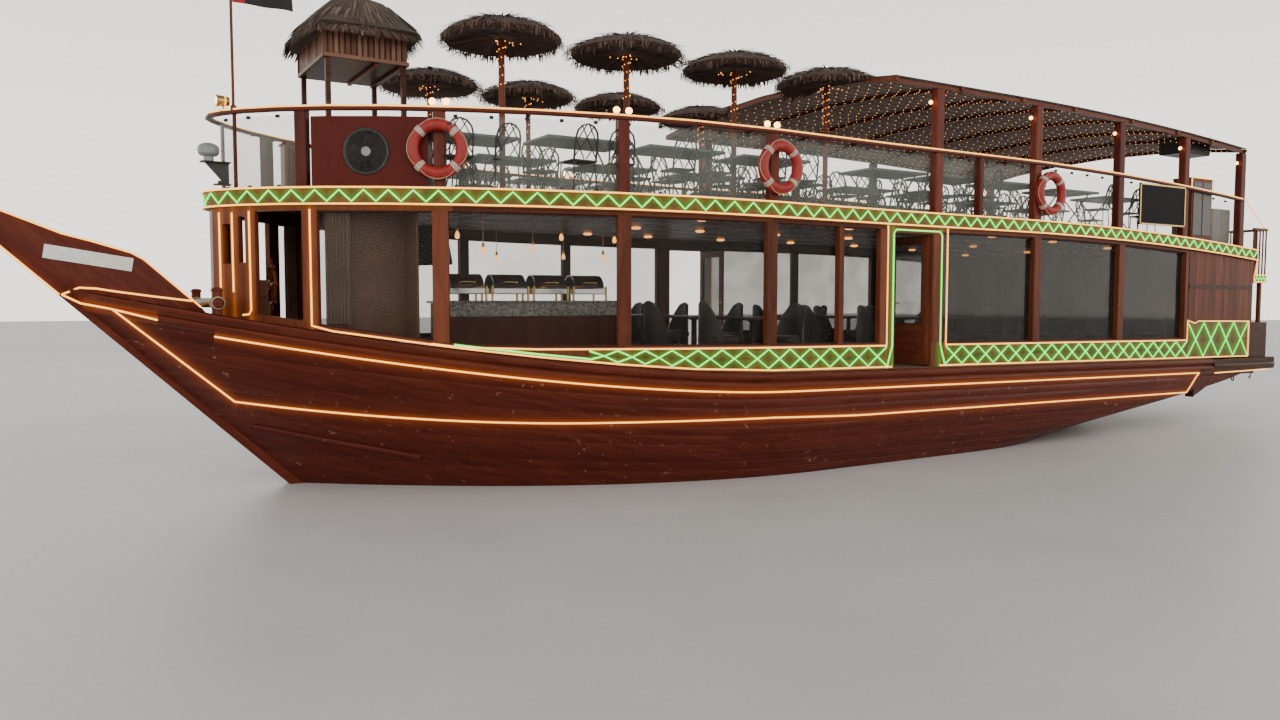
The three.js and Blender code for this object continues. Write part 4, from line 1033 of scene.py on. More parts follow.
# Railing: rounded capping rail on chamfered posts.
railSet = {"fore": 2.6, "inner": -0.06, "outer": 0.02, "thick": 0.045, "round": 0.012}
shortPosts = {7.9: 0.15, 6.44: 0.15, 4.24: 0.15, 1.99: 0.15, -2.3: 0.095}
tallPosts = [-1.31, -3.74, -6.12, -8.25, -10.33]
canopyStops = np.array([-0.3, -1.31, -2.5, -3.74, -4.9, -6.12, -7.2, -8.25, -9.3, -10.42])
canopySet = {"half": 3.17, "crown": 0.25, "thick": 0.03, "beam": 0.06}
acrossY = np.array([-1, -0.72, -0.4, 0, 0.4, 0.72, 1]) * canopySet["half"]


# Height of the canopy: its edge line along the boat plus a parabola across it.
def roofAt(x, y, drop=0.0):
    edge = np.interp(-np.asarray(x, float), -canopyStops, deckAt(alongAt(canopyStops)) + houseSet["canopy"])
    crown = np.interp(y, acrossY, canopySet["crown"] * (1 - (acrossY / canopySet["half"]) ** 2))
    return edge + crown - drop


# An upright timber on the plan, its middle set in from the line and turned to it.
def planPost(x, width, depth, inset, low, high, side=1, corner=0.012, tone=0.0):
    s = walkTo(x)
    place = planPoints(s, -inset, 0.0)
    outward = planNormal(s)
    turn = math.atan2(outward[1], outward[0])
    post = board((-depth / 2, -width / 2, low), (depth / 2, width / 2, high), corner, tone)
    post = repeated(post, [(place[0], place[1], 0)], turn).toned(tone)
    return post if side > 0 else post.mirrored()


def cappingRail(s0, s1):
    flat = boxSection(railSet["outer"] - railSet["inner"], railSet["thick"], railSet["round"], 2)
    middle = (railSet["outer"] + railSet["inner"]) / 2
    section = [(middle + a, lambda s, b=b: railAt(s) - railSet["thick"] / 2 + b) for a, b in flat]
    return moulding(s0, s1, section)


scarf = walkTo(railSet["fore"])


def railPosts(table, side=1):
    posts = []
    for x, width in table:
        s = walkTo(x)
        low, high = float(deckAt(s)) - 0.01, float(railAt(s)) - 0.02
        posts.append(planPost(x, width, 0.13, 0.065, low, high, side, tone=oneTone()))
    return posts


sidePosts = railPosts([(x, w) for x, w in shortPosts.items() if x < railSet["fore"]])
for x in tallPosts:
    top = roofAt(x - 0.085, 3.12, canopySet["thick"] + canopySet["beam"] + 0.014)
    sidePosts.append(planPost(x, 0.17, 0.14, 0.07, deckOver(x) - 0.01, float(top), 1, 0.014, oneTone()))
sideRail = merged(cappingRail(scarf, railEnd), sidePosts)
railNodes = (["railing_port"], ["railing_starboard"])
twins(("sideRailPort", "sideRailStarboard"), sideRail, railWood, railNodes)
bowTable = [(x, w) for x, w in shortPosts.items() if x > railSet["fore"]]
bowRail = [cappingRail(-scarf, scarf)]
for side in (1, -1):
    bowRail += railPosts(bowTable, side)
    high = float(railAt(alongAt(8.56))) - 0.02
    bowRail.append(planPost(8.56, 0.045, 0.045, 0.03, deckOver(8.56), high, side))
piece("bowRail", merged(bowRail), railWood, stands=["railing_bow"])

# Small dark clamps along the rail glass, in a row low and a row high.
clampSet = {"pitch": 0.45, "size": (0.05, 0.035, 0.04)}


def glassClamps(s0, s1):
    s = np.arange(min(s0, s1) + 0.15, max(s0, s1), clampSet["pitch"])
    long, deep, high = clampSet["size"]
    clamp = board((-long / 2, -deep / 2, -high / 2), (long / 2, deep / 2, high / 2), 0.006)
    normal = planNormal(s)
    turn = np.arctan2(normal[:, 1], normal[:, 0]) - math.pi / 2
    low = planPoints(s, -0.15, deckAt(s) + 0.03)
    high = planPoints(s, -0.15, railAt(s) - 0.075)
    return [repeated(clamp, low, turn), repeated(clamp, high, turn)]


clamps = glassClamps(walkTo(6.4), walkTo(-8.5)) + glassClamps(walkTo(-9.34), railEnd)
clamps += glassClamps(-railEnd, walkTo(7.87))
piece("glassClamps", merged(clamps), blackPaint, bevel=0.003)

# Facing boards on the walls: pillars between the windows, sills, heads and window beads.
windowTable = [
    (7.745, 6.53), (6.35, 4.33), (4.15, 2.12), (1.94, 0.79), (0.69, -0.04), (-1.42, -3.66),
    (-3.84, -6.09), (-6.27, -8.29),
]
facingSet = {"thick": 0.010, "bead": 0.022, "deep": 0.016}


def sideStrip(x0, x1, inner, outer, low, high, tone=0.0):
    section = [(inner, low), (outer, low), (outer, high), (inner, high)]
    return moulding(walkTo(x0), walkTo(x1), section, 0.5).toned(tone)


sillOver, headUnderAt = shifted(sillAt, 0.045), shifted(headAt, -0.06)


def upright(x0, x1, low, high, tone):
    s = [walkTo(x0), walkTo(x1)]
    rows = np.linspace(0, 1, 6)
    mid = sum(s) / 2
    z = float(low(mid)) + (float(high(mid)) - float(low(mid))) * rows
    ring = [(s[0], 0.0), (s[0], facingSet["thick"]), (s[1], facingSet["thick"]), (s[1], 0.0)]
    rings = np.stack([planPoints(np.full(6, a), out, z) for a, out in ring], 1)
    grain = coords(z[:, None], np.array([0, 0.01, 0.15, 0.16])[None], 0.0)
    return skin(rings, grain).toned(tone)


facings = []
for (_, aft), (fore, _) in zip(windowTable, windowTable[1:]):
    if aft > 0.5 or aft < -1:
        facings.append(upright(aft - 0.004, fore + 0.004, sillOver, headUnderAt, oneTone()))
for x0, x1 in [(-0.045, -0.18), (-1.19, -1.415), (-8.295, -8.40)]:
    facings.append(upright(x0, x1, sillOver, headUnderAt, oneTone()))
for x0, x1 in zip([6.3, 4.24, 2.03, -1.52, -3.75, -6.18], [4.24, 2.03, -0.16, -3.75, -6.18, -8.38]):
    for out, line, low, high in ((0.014, sillAt, 0.026, 0.047), (0.012, headAt, -0.058, -0.006)):
        facings.append(sideStrip(x0, x1, 0, out, shifted(line, low), shifted(line, high), oneTone()))
beads = []
for fore, aft in windowTable:
    foot = (sillOver, shifted(sillOver, facingSet["bead"]))
    head = (shifted(headUnderAt, -facingSet["bead"]), headUnderAt)
    for lower, upper in (foot, head):
        beads.append(sideStrip(fore, aft, -0.062, -0.062 + facingSet["deep"], lower, upper))
piece("wallFacings", bothSides(facings), boardWood)
piece("windowBeads", bothSides(beads), darkWood)

# Vertical boards on the aft side panels and behind the lattice.
panelSet = {"fore": -8.43, "aft": -10.82, "width": 0.118, "gap": 0.004}
panels = []
x = panelSet["fore"]
while x - panelSet["width"] > panelSet["aft"]:
    low, high = shifted(tallLine, 0.03), shifted(headAt, -0.004)
    panels.append(upright(x, x - panelSet["width"] + panelSet["gap"], low, high, oneTone(0.1)))
    x -= panelSet["width"]
piece("sidePanels", bothSides(panels), boardWood)
midRail = sideStrip(-8.43, -10.8, 0.01, 0.022, lambda s: 2.72, lambda s: 2.80)
piece("panelRails", bothSides(midRail), darkWood)
print("walls and railing done")


# Thin tapering leaves from base to tip, each a flat diamond section that droops with the square of its run.
def leaves(base, tip, droop, width):
    thick, rows, count = 0.004, 3, len(base)
    t = np.linspace(0, 1, rows)
    centre = base[:, None] + (tip - base)[:, None] * t[None, :, None]
    centre[..., 2] -= np.asarray(droop)[:, None] * t[None] ** 2
    along = tip - base
    side = np.cross(along, (0, 0, 1))
    side /= np.maximum(np.linalg.norm(side, axis=1), 1e-6)[:, None]
    up = np.cross(side, along)
    up /= np.linalg.norm(up, axis=1)[:, None]
    taper = (1 - 0.8 * t**2)[None, :, None, None]
    flat = np.array([[1, 0], [0, 1], [-1, 0], [0, -1]], float)
    wide = np.asarray(width)[:, None, None, None] * taper * flat[None, None, :, :1] * side[:, None, None]
    high = thick * taper * flat[None, None, :, 1:] * up[:, None, None]
    points = centre[:, :, None] + wide + high
    ends = [ladder(np.arange(4))[:, ::-1], ladder((rows - 1) * 4 + np.arange(4))]
    one = np.concatenate([gridQuads(rows, 4, False, True), *ends])
    quads = one[None] + (np.arange(count) * rows * 4)[:, None, None]
    length = np.linalg.norm(along, axis=1)[:, None, None]
    offset = rng.uniform(0, 5, count)[:, None, None]
    grain = coords(length * t[None, :, None], flat[None, None, :, 0] * 0.02 + offset, offset)
    tone = np.repeat(rng.uniform(-0.15, 0.25, count), rows * 4)
    return Shape(points, quads, grain, tone).outward()


parasolSet = {"radius": 0.875, "rim": 5.90, "top": 6.22, "straws": 420, "layers": 4}
poleRadius = 0.042
parasolRows = {
    "port": (1.75, [5.45, 3.55, 1.65, -0.2], [-0.01, 0.035, 0.05, 0.04]),
    "starboard": (-1.75, [5.20, 3.44, 1.65, -0.2], [0.075, 0.075, 0.075, 0.03]),
}


# Rings of leaves on a shallow cone whose rim is clumped; the outermost hang as a short ragged fringe.
def parasolThatch(radius, rim, top, straws, layers):
    turns = np.linspace(0, 2 * math.pi, 23)
    clumps = rng.uniform(0.92, 1.07, 23)

    def edge(a):
        return radius * np.interp(a, turns, clumps, period=2 * math.pi)

    parts = []
    for k in range(layers):
        share = k / (layers - 1)
        count = int(straws * (1.25 - 0.6 * share))
        a = rng.uniform(0, 2 * math.pi, count)
        r0 = radius * (0.62 - 0.6 * share) + rng.uniform(-0.03, 0.03, count)
        r1 = edge(a) * (1.0 - 0.42 * share) * rng.uniform(0.80, 1.03, count)
        z0 = rim + (top - rim) * (0.42 + 0.42 * share) + rng.uniform(-0.02, 0.02, count)
        z1 = rim + (top - rim) * (0.20 + 0.46 * share) + rng.uniform(-0.05, 0.05, count)
        turn = a + rng.uniform(-0.12, 0.12, count)
        base = coords(r0 * np.cos(a), r0 * np.sin(a), z0)
        tip = coords(r1 * np.cos(turn), r1 * np.sin(turn), z1)
        droop = rng.uniform(0.03, 0.12, count) * (1 - 0.6 * share)
        parts.append(leaves(base, tip, droop, rng.uniform(0.007, 0.017, count)))
    count = int(straws * 0.9)
    a = rng.uniform(0, 2 * math.pi, count)
    r0 = radius * rng.uniform(0.08, 0.66, count)
    r1 = np.minimum(r0 + rng.uniform(0.3, 0.5, count), edge(a) * 0.97)
    z0 = rim + rng.uniform(0.005, 0.03, count) - 0.03 * r0
    base = coords(r0 * np.cos(a), r0 * np.sin(a), z0)
    tip = coords(r1 * np.cos(a + 0.06), r1 * np.sin(a + 0.06), z0 - rng.uniform(0.03, 0.07, count))
    parts.append(leaves(base, tip, 0.03 + 0 * a, rng.uniform(0.008, 0.018, count)))
    count = straws // 2
    a = rng.uniform(0, 2 * math.pi, count)
    r0 = edge(a) * rng.uniform(0.86, 0.96, count)
    base = coords(r0 * np.cos(a), r0 * np.sin(a), rim + rng.uniform(-0.02, 0.03, count))
    tip = base * (1.02, 1.02, 1) - coords(0, 0, rng.uniform(0.03, 0.12, count))
    parts.append(leaves(base, tip, 0 * a, rng.uniform(0.008, 0.016, count)))
    dome = [
        [0.04, rim + 0.01], [radius * 0.55, rim - 0.01], [radius * 0.84, rim - 0.04],
        [radius * 0.90, rim + 0.01], [radius * 0.8, rim + 0.08], [radius * 0.45, rim + 0.17],
        [0.02, top - 0.08],
    ]
    return merged(parts, lathe(dome, 24).toned(-0.1))


# The part of a cover that reaches under the canopy's fore edge lies up against it.
def tuckedUnder(shape):
    roof = roofAt(shape.points[:, 0], shape.points[:, 1]) + 0.02
    lifted = np.maximum(shape.points[:, 2], roof)
    shape.points[:, 2] = np.where(shape.points[:, 0] > canopyStops[0], shape.points[:, 2], lifted)
    return shape


def poleShape(x, y, foot, top, radius):
    r = np.array([0, 1.25, 1.25, 1, 1, 0]) * radius
    z = [foot, foot, foot + 0.05, foot + 0.07, top, top]
    return lathe(np.stack([r, z], -1), 16, (x, y, 0))


poles = []
for row, (y, xs, lifts) in parasolRows.items():
    for k, (x, lift) in enumerate(zip(xs, lifts)):
        cover = parasolThatch(**parasolSet).moved((x, y, lift))
        node = f"parasol_{row}_{k + 1}"
        piece(f"thatch_{node}", tuckedUnder(cover), thatch, stands=[node])
        poles.append(poleShape(x, y, deckOver(x), parasolSet["rim"] + lift + 0.05, poleRadius))
piece("parasolPoles", merged(poles), postWood)

# Lookout hut: thatched hip roof over a slatted box.
hutSet = {
    "fore": 7.42, "aft": 6.42, "half": 0.68, "eave": 6.07, "peak": 6.62, "box": (5.64, 6.03), "slat": 0.05,
}


def hutRoof(fore, aft, half, eave, peak, **_):
    mid, run = (fore + aft) / 2, (fore - aft) / 2
    rings = [(0.22, eave - 0.07), (0.27, eave - 0.02), (0.05, eave + 0.19)]
    rings += [(-0.14, peak - 0.14), (-0.40, peak - 0.02)]
    x, y = boxSection(2.0, 2.0, 0.4, 4).T
    core = skin(np.stack([coords(mid + x * (run + out), y * (half + out), z) for out, z in rings]))
    parts = [core.toned(-0.1)]
    layers = [
        (eave - 0.11, eave + 0.08, 0.17, 0.30, 900), (eave, eave + 0.2, 0.06, 0.27, 700),
        (eave + 0.1, eave + 0.36, -0.1, 0.16, 600), (eave + 0.26, peak, -0.4, 0.0, 500),
    ]
    for low, high, inner, outer, count in layers:
        a = rng.uniform(0, 2 * math.pi, count)
        square = np.maximum(np.abs(np.cos(a)), np.abs(np.sin(a))) ** -0.75
        ux, uy = np.cos(a) * square, np.sin(a) * square
        spread = rng.uniform(-0.02, 0.02, count)
        base = coords(mid + ux * (run + inner), uy * (half + inner), high + spread)
        tip = coords(mid + ux * (run + outer) + spread, uy * (half + outer) - spread, low + 2 * spread)
        parts.append(leaves(base, tip, rng.uniform(0.0, 0.05, count), rng.uniform(0.010, 0.022, count)))
    whole = merged(parts)
    reach = 0.305
    low, high = (aft - reach, -half - reach, 0), (fore + reach, half + reach, peak)
    whole.points = np.clip(whole.points, low, high)
    return whole


piece("hutThatch", hutRoof(**hutSet), hutThatch, stands=["hut_roof"])
slats = []
low, high = hutSet["box"]
for x in np.arange(hutSet["aft"] - 0.03, hutSet["fore"] + 0.04, 0.075):
    for y in (hutSet["half"] + 0.041, -hutSet["half"] - 0.053):
        slats.append(board((x, y, low), (x + hutSet["slat"], y + 0.012, high - 0.01), 0.003, oneTone()))
for y in np.arange(-hutSet["half"] - 0.03, hutSet["half"], 0.075):
    for x in (hutSet["fore"] + 0.041, hutSet["aft"] - 0.053):
        slats.append(board((x, y, low), (x + 0.012, y + hutSet["slat"], high - 0.01), 0.003, oneTone()))
hutRails = [(6.36, 7.48, 0.735, 0.75), (6.36, 7.48, -0.75, -0.735)]
hutRails += [(7.475, 7.49, -0.74, 0.74), (6.35, 6.365, -0.74, 0.74)]
for x0, x1, y0, y1 in hutRails:
    for z in (low, high - 0.06):
        slats.append(board((x0, y0, z), (x1, y1, z + 0.05), 0.004, oneTone()))
piece("hutSlats", merged(slats), slatWood)
joists = [board((x - 0.025, -0.70, 5.600), (x + 0.025, 0.70, 5.637), 0.004) for x in (6.45, 6.78)]
piece("hutJoists", merged(joists), boardWood)
print("thatch done")

# Canopy net: one cloth that sags between the arches, with rows of lights below it.
netSet = {"sag": 0.045, "rows": 120, "columns": 60, "thick": 0.004}
arches = np.array([-0.34, -1.8, -3.3, -4.7, -6.4, -7.9, -9.1, -10.38])


def sagAt(x):
    k = np.clip(np.searchsorted(-arches, -np.asarray(x)) - 1, 0, len(arches) - 2)
    t = np.clip((arches[k] - x) / (arches[k] - arches[k + 1]), 0, 1)
    return 4 * t * (1 - t)


def netShape(sag, rows, columns, thick):
    x = np.linspace(-0.3, -10.42, rows)[:, None]
    y = np.linspace(-1, 1, columns)[None] * canopySet["half"]
    drop = 0.012 + sag * sagAt(x) * (1 - (y / canopySet["half"]) ** 4)
    z = roofAt(x, y) - drop
    upper = coords(x, y, z)
    lower = (upper - (0, 0, thick))[:, ::-1]
    rings = np.concatenate([upper, lower], 1)
    return skin(rings, rings.copy())


net = piece("canopyNet", netShape(**netSet), netCloth, stands=["canopy_net"])
stringSet = {"ys": np.linspace(-2.9, 2.9, 25), "pitch": 0.21, "drop": 0.055, "sag": 0.055, "bulb": 0.0068}


def stringZ(x, y):
    return roofAt(x, y) - stringSet["drop"] - stringSet["sag"] * sagAt(x)


smallBulb = ball(1.0, sides=6)
strings, bulbs = [], []
for y in stringSet["ys"]:
    x = np.arange(-0.5, -10.3, -stringSet["pitch"]) + rng.uniform(-0.04, 0.04)
    fine = np.linspace(-0.36, -10.36, 60)
    strings.append(tube(coords(fine, y, stringZ(fine, y) - 0.012), 0.003, 4))
    bulbs.append(repeated(smallBulb, coords(x, y, stringZ(x, y) - 0.03), scales=stringSet["bulb"]))
piece("canopyStrings", merged(strings), oldWood)
piece("canopyBulbs", merged(bulbs), dimBulb)

# Small lights wound round the top of each parasol's pole and scattered under its cover.
wound = []
for y, xs, lifts in parasolRows.values():
    for x, lift in zip(xs, lifts):
        t = np.linspace(0, 1, 34)
        a = t * 2 * math.pi * 5
        spiral = coords(x + 0.056 * np.cos(a), y + 0.056 * np.sin(a), 5.30 + lift + 0.57 * t)
        a = rng.uniform(0, 2 * math.pi, 8)
        r = rng.uniform(0.08, 0.28, 8)
        under = coords(x + r * np.cos(a), y + r * np.sin(a), 5.87 + lift - 0.06 * r)
        wound.append(repeated(smallBulb, np.concatenate([spiral, under]), scales=0.0085))
piece("poleBulbs", merged(wound), dimBulb)

# A lamp on a short bracket at the fore face of each tall post, under the canopy.
lampBulbs, brackets = [], []
for x in tallPosts:
    s = walkTo(x + 0.085)
    root = planPoints([s], -0.07, roofAt(x, 3.12) - 0.24)[0]
    arm = [root - (0.01, 0, 0), root + (0.06, 0, 0), root + (0.075, 0, -0.02)]
    brackets.append(tube(arm, 0.007, 8))
    brackets.append(lathe([[0, 0], [0.016, 0], [0.016, 0.035], [0, 0.035]], 12, root + (0.075, 0, -0.055)))
    lampBulbs.append(ball(0.032, root + (0.075, 0, -0.08), 12))
piece("postBulbs", bothSides(lampBulbs), bulbLight, sharp=80)
piece("postBrackets", bothSides(brackets), blackPaint)
print("canopy done")

# Life rings: a red shell with four pale bands and a rope looped round it.
ringSet = {"middle": 0.295, "thick": 0.0735, "xs": [6.45, 1.96, -3.96], "off": 0.0753, "over": 0.46}


def ringParts(middle, thick):
    shell = ringTube(middle, thick, 40, 14)
    bands, cord = [], []
    for k in range(4):
        a = np.linspace(-0.11, 0.11, 7) + math.pi / 4 + k * math.pi / 2
        path = coords(np.cos(a) * middle, np.sin(a) * middle, 0)
        bands.append(tube(path, thick + 0.0012, 14))
        a = np.linspace(0.14, math.pi / 2 - 0.14, 18) + math.pi / 4 + k * math.pi / 2
        swell = np.sin(np.linspace(0, math.pi, 18))
        r = middle + thick * (0.55 + 0.42 * swell)
        z = thick * (0.80 - 0.45 * swell)
        cord.append(tube(coords(np.cos(a) * r, np.sin(a) * r, z), 0.007, 6))
    return shell, merged(bands), merged(cord)


for k, x in enumerate(ringSet["xs"]):
    s = walkTo(x)
    place = planPoints(s, ringSet["off"], float(deckAt(s)) + ringSet["over"])
    outward = planNormal(s)
    heading = math.atan2(outward[1], outward[0])
    stood = [
        shape.turned(math.pi / 2, "x").turned(heading + math.pi / 2, "z").moved(place)
        for shape in ringParts(ringSet["middle"], ringSet["thick"])
    ]
    for side in ("port", "starboard"):
        shell, bands, cord = stood if side == "port" else [shape.mirrored() for shape in stood]
        node = f"{side}_{k + 1}"
        piece(f"ringShell_{node}", shell, redShell, stands=[f"life_ring_{node}"], sharp=80)
        piece(f"ringBands_{node}", bands, paleBand, sharp=80)
        piece(f"ringRope_{node}", cord, ropeLook, sharp=80)

# Flag: a cloth in waves on its hoist, in four plain colours.
flagSet = {"pole": (8.5436, 0.4959), "fly": 0.73, "low": 6.21, "high": 6.70, "hoist": 0.2}


def flagShape(pole, fly, low, high, **_):
    u = np.linspace(0, 1, 48)[:, None]
    v = np.linspace(0, 1, 24)[None]
    x = pole[0] - 0.019 - fly * u * (1 - 0.03 * v)
    y = pole[1] + 0.030 * u**0.7 * np.sin(9.5 * u + 1.6 * v)
    z = low + (high - low) * v - 0.05 * u**1.5 * (1 - v) * 0.2
    face = coords(x, y, z)
    back = (face + (0, 0.0012, 0))[:, ::-1]
    flat = coords(u, v, 0.0)
    return skin(np.concatenate([face, back], 1), np.concatenate([flat, flat[:, ::-1]], 1))


def flagLook():
    look = Look("flagCloth", sheen=0.3)
    place = look.place((1, 1, 1))
    u, v = look.axis(place, "X"), look.axis(place, "Y")
    field = look.blend(v.over(1 / 3), (0.012, 0.012, 0.012), (0.7, 0.69, 0.66))
    field = look.blend(v.over(2 / 3), field, (0.01, 0.16, 0.045))
    field = look.blend(u.over(flagSet["hoist"]), (0.42, 0.012, 0.012), field)
    threads = look.noise(look.place((90, 60, 1)), 5.0, 2)
    shade = look.blend(threads * 0.3, field, (0.02, 0.02, 0.02))
    return look.settle(color=shade, roughness=0.8 + threads * 0.1, normal=look.bump(threads, 0.0006))


flag = piece("flagCloth", flagShape(**flagSet), flagLook(), stands=["flag"], sharp=80)
print("rings and flag done")

# Fittings at the bow: bitts with a lashed log, dome lamp on a bracket, brass lamp on the rail.
bittSet = {"x": 8.86, "half": 0.96, "size": (0.11, 0.12, 0.33), "log": 0.062, "reach": 1.15, "rise": 0.14}


def standing(shape, axis, place):
    return shape.turned(math.pi / 2, axis).moved(place)


def bittShape(x, half, size, log, reach, rise):
    base = float(sheer(x))
    parts = []
    for y in (half, -half):
        x0, x1, y0, y1 = x - size[0] / 2, x + size[0] / 2, y - size[1] / 2, y + size[1] / 2
        parts.append(board((x0, y0, base - 0.05), (x1, y1, base + size[2]), 0.016, 0.05))
        low = (x0 - 0.008, y0 - 0.008, base + size[2] - 0.05)
        parts.append(board(low, (x1 + 0.008, y1 + 0.008, base + size[2] - 0.015), 0.006))
    profile = [
        [0, -reach], [log * 0.7, -reach + 0.004], [log, -reach + 0.03],
        [log, reach - 0.03], [log * 0.7, reach - 0.004], [0, reach],
    ]
    parts.append(standing(lathe(profile, 16), "x", (x, 0, base + rise)))
    return merged(parts)


piece("bowBitts", bittShape(**bittSet), redWood, slot="dark_wood", stands=["bow_bitts"])
base = float(sheer(bittSet["x"]))
turnsAt = [y + step for y in (bittSet["half"], -bittSet["half"]) for step in (-0.098, -0.076, 0.076, 0.098)]
lashing = standing(ringTube(bittSet["log"] + 0.008, 0.010, 20, 6), "x", (0, 0, 0))
lashings = repeated(lashing, [(bittSet["x"], y, base + bittSet["rise"]) for y in turnsAt])
piece("bittLashings", lashings, ropeLook, sharp=80)

domeSet = {"x": 8.85, "y": 0.52, "plate": 4.205}
domeX, domeY, plateZ = domeSet.values()
bracket = [board((8.60, domeY - 0.08, plateZ), (8.95, domeY + 0.08, plateZ + 0.012), 0.003)]
web = np.array([[8.62, 3.93], [8.62, plateZ], [8.90, plateZ], [8.66, 3.93]])
webSides = [coords(web[:, 0], y, web[:, 1]) for y in (domeY - 0.012, domeY + 0.012)]
bracket.append(skin(np.stack(webSides)))
bracket.append(board((8.60, domeY - 0.06, 3.93), (8.80, domeY + 0.06, 3.945), 0.003))
bracket.append(board((8.63, domeY - 0.05, 3.945), (8.75, domeY + 0.05, 3.985), 0.006))
piece("domeBracket", merged(bracket), ironDark)
dome = [
    [0, 0.012], [0.062, 0.012], [0.058, 0.075], [0.095, 0.080], [0.122, 0.105],
    [0.130, 0.150], [0.122, 0.190], [0.095, 0.218], [0.05, 0.234], [0, 0.238],
]
piece("domeLamp", lathe(dome, 28, (domeX, domeY, plateZ)), greyTop)

lampSet = {"x": 8.66, "inset": -0.02}
s = walkTo(lampSet["x"])
lampFoot = planPoints(s, lampSet["inset"], float(railAt(s)))
body = [
    [0, -0.075], [0.045, -0.074], [0.058, -0.06], [0.064, 0.0], [0.072, 0.06],
    [0.078, 0.066], [0.078, 0.08], [0.066, 0.082], [0.062, 0.07], [0, 0.068],
]
lampBody = lathe(body, 22).turned(math.pi / 2, "y").moved(lampFoot + (0, 0, 0.13))
stem = [[0, 0.0005], [0.034, 0.0005], [0.034, 0.012], [0.012, 0.02], [0.012, 0.07], [0, 0.07]]
stem = lathe(stem, 14, lampFoot)
piece("bowLamp", merged(lampBody, stem), brass, slot="steel", stands=["searchlight"])
lens = lathe([[0, 0], [0.058, 0], [0.05, 0.012], [0.03, 0.018], [0, 0.02]], 18).turned(math.pi / 2, "y")
piece("bowLampLens", lens.moved(lampFoot + (0.069, 0, 0.13)), bulbLight)
coil = ringTube(0.066, 0.010, 22, 6).turned(math.pi / 2, "y").moved(lampFoot + (-0.02, 0, 0.13))
piece("bowLampGlow", coil, warmLight)

# Globe lamps in pairs on the rail at the short posts.
globes, caps = [], []
for x in (6.44, 4.24, 1.99):
    for along in (-0.085, 0.085):
        s = walkTo(x) + along
        foot = planPoints(s, -0.075, float(railAt(s)))
        globes.append(ball(0.045, foot + (0, 0, 0.085), 14))
        caps.append(lathe([[0, 0], [0.026, 0], [0.022, 0.035], [0.018, 0.045], [0, 0.045]], 12, foot))
piece("railGlobes", bothSides(globes), bulbLight, sharp=80)
piece("railGlobeCaps", bothSides(caps), brass)

# Extractor fan: ring and guard of round wires in front of the rotor.
fanSet = {"x": 7.22, "z": 4.32, "inset": -0.008, "wires": 17, "rods": 12}


def onFan(shape, out=0.0):
    s = walkTo(fanSet["x"])
    place = planPoints(s, fanSet["inset"] + out, fanSet["z"])
    normal = planNormal(s)
    return shape.turned(math.pi / 2, "y").turned(math.atan2(normal[1], normal[0])).moved(place)


wires = [ringTube(r, 0.0036, 36, 5) for r in np.linspace(0.062, 0.238, fanSet["wires"])]
a = np.arange(fanSet["rods"]) * 2 * math.pi / fanSet["rods"]
rod = tube([[0.05, 0, 0], [0.12, 0, 0.004], [0.2, 0, 0.004], [0.252, 0, -0.004]], 0.003, 5)
wires.append(repeated(rod, np.zeros((fanSet["rods"], 3)), a))
flange = [[0.243, -0.004], [0.285, -0.004], [0.290, 0.004], [0.282, 0.016], [0.262, 0.020], [0.246, 0.012]]
r, z = np.transpose(flange)
a = np.arange(40)[:, None] * 2 * math.pi / 40
rings = coords(r * np.cos(a), r * np.sin(a), z)
guard = merged(onFan(merged(wires), 0.016), onFan(skin(rings, around=True), 0.002))
piece("fanGuard", guard, ironDark)
badge = lathe([[0, -0.006], [0.055, -0.006], [0.062, 0.0], [0.05, 0.01], [0, 0.012]], 22)
piece("fanBadge", onFan(badge, 0.016), greyTop)

# Wheel: brass boss and turned grips on the spokes.
helmSet = {
    "centre": (8.10, 0.30, 2.70), "spokes": 8,
    "knob": [
        [0, 0.255], [0.016, 0.262], [0.020, 0.285], [0.0185, 0.31],
        [0.022, 0.33], [0.012, 0.342], [0, 0.345],
    ],
    "boss": [
        [0, -0.044], [0.04, -0.044], [0.062, -0.036], [0.062, 0], [0.06, 0.036], [0.03, 0.044], [0, 0.052],
    ],
}
knob = lathe(helmSet["knob"], 12)
spokeTurns = np.arange(helmSet["spokes"]) * 2 * math.pi / helmSet["spokes"]
grips = [knob.turned(turn, "x").moved(helmSet["centre"]) for turn in spokeTurns]
piece("wheelGrips", merged(grips), railWood, body="helm")
boss = lathe(helmSet["boss"], 20).turned(-math.pi / 2, "y").moved(helmSet["centre"])
piece("wheelBoss", boss, brass, body="helm")

# Sign board: bare, in a narrow brass frame.
signSet = {"fore": -6.62, "aft": -8.12, "low": 3.90, "high": 4.66, "face": 3.198, "bar": 0.028}


def signFrame(fore, aft, low, high, face, bar):
    level = [(aft, high - bar, fore, high), (aft, low, fore, low + bar)]
    steep = [(aft, low, aft + bar, high), (fore - bar, low, fore, high)]
    bars = [board((x0, face, z0), (x1, face + 0.010, z1), 0.002) for x0, z0, x1, z1 in level + steep]
    return merged(bars)


piece("signFrame", signFrame(**signSet), brass)

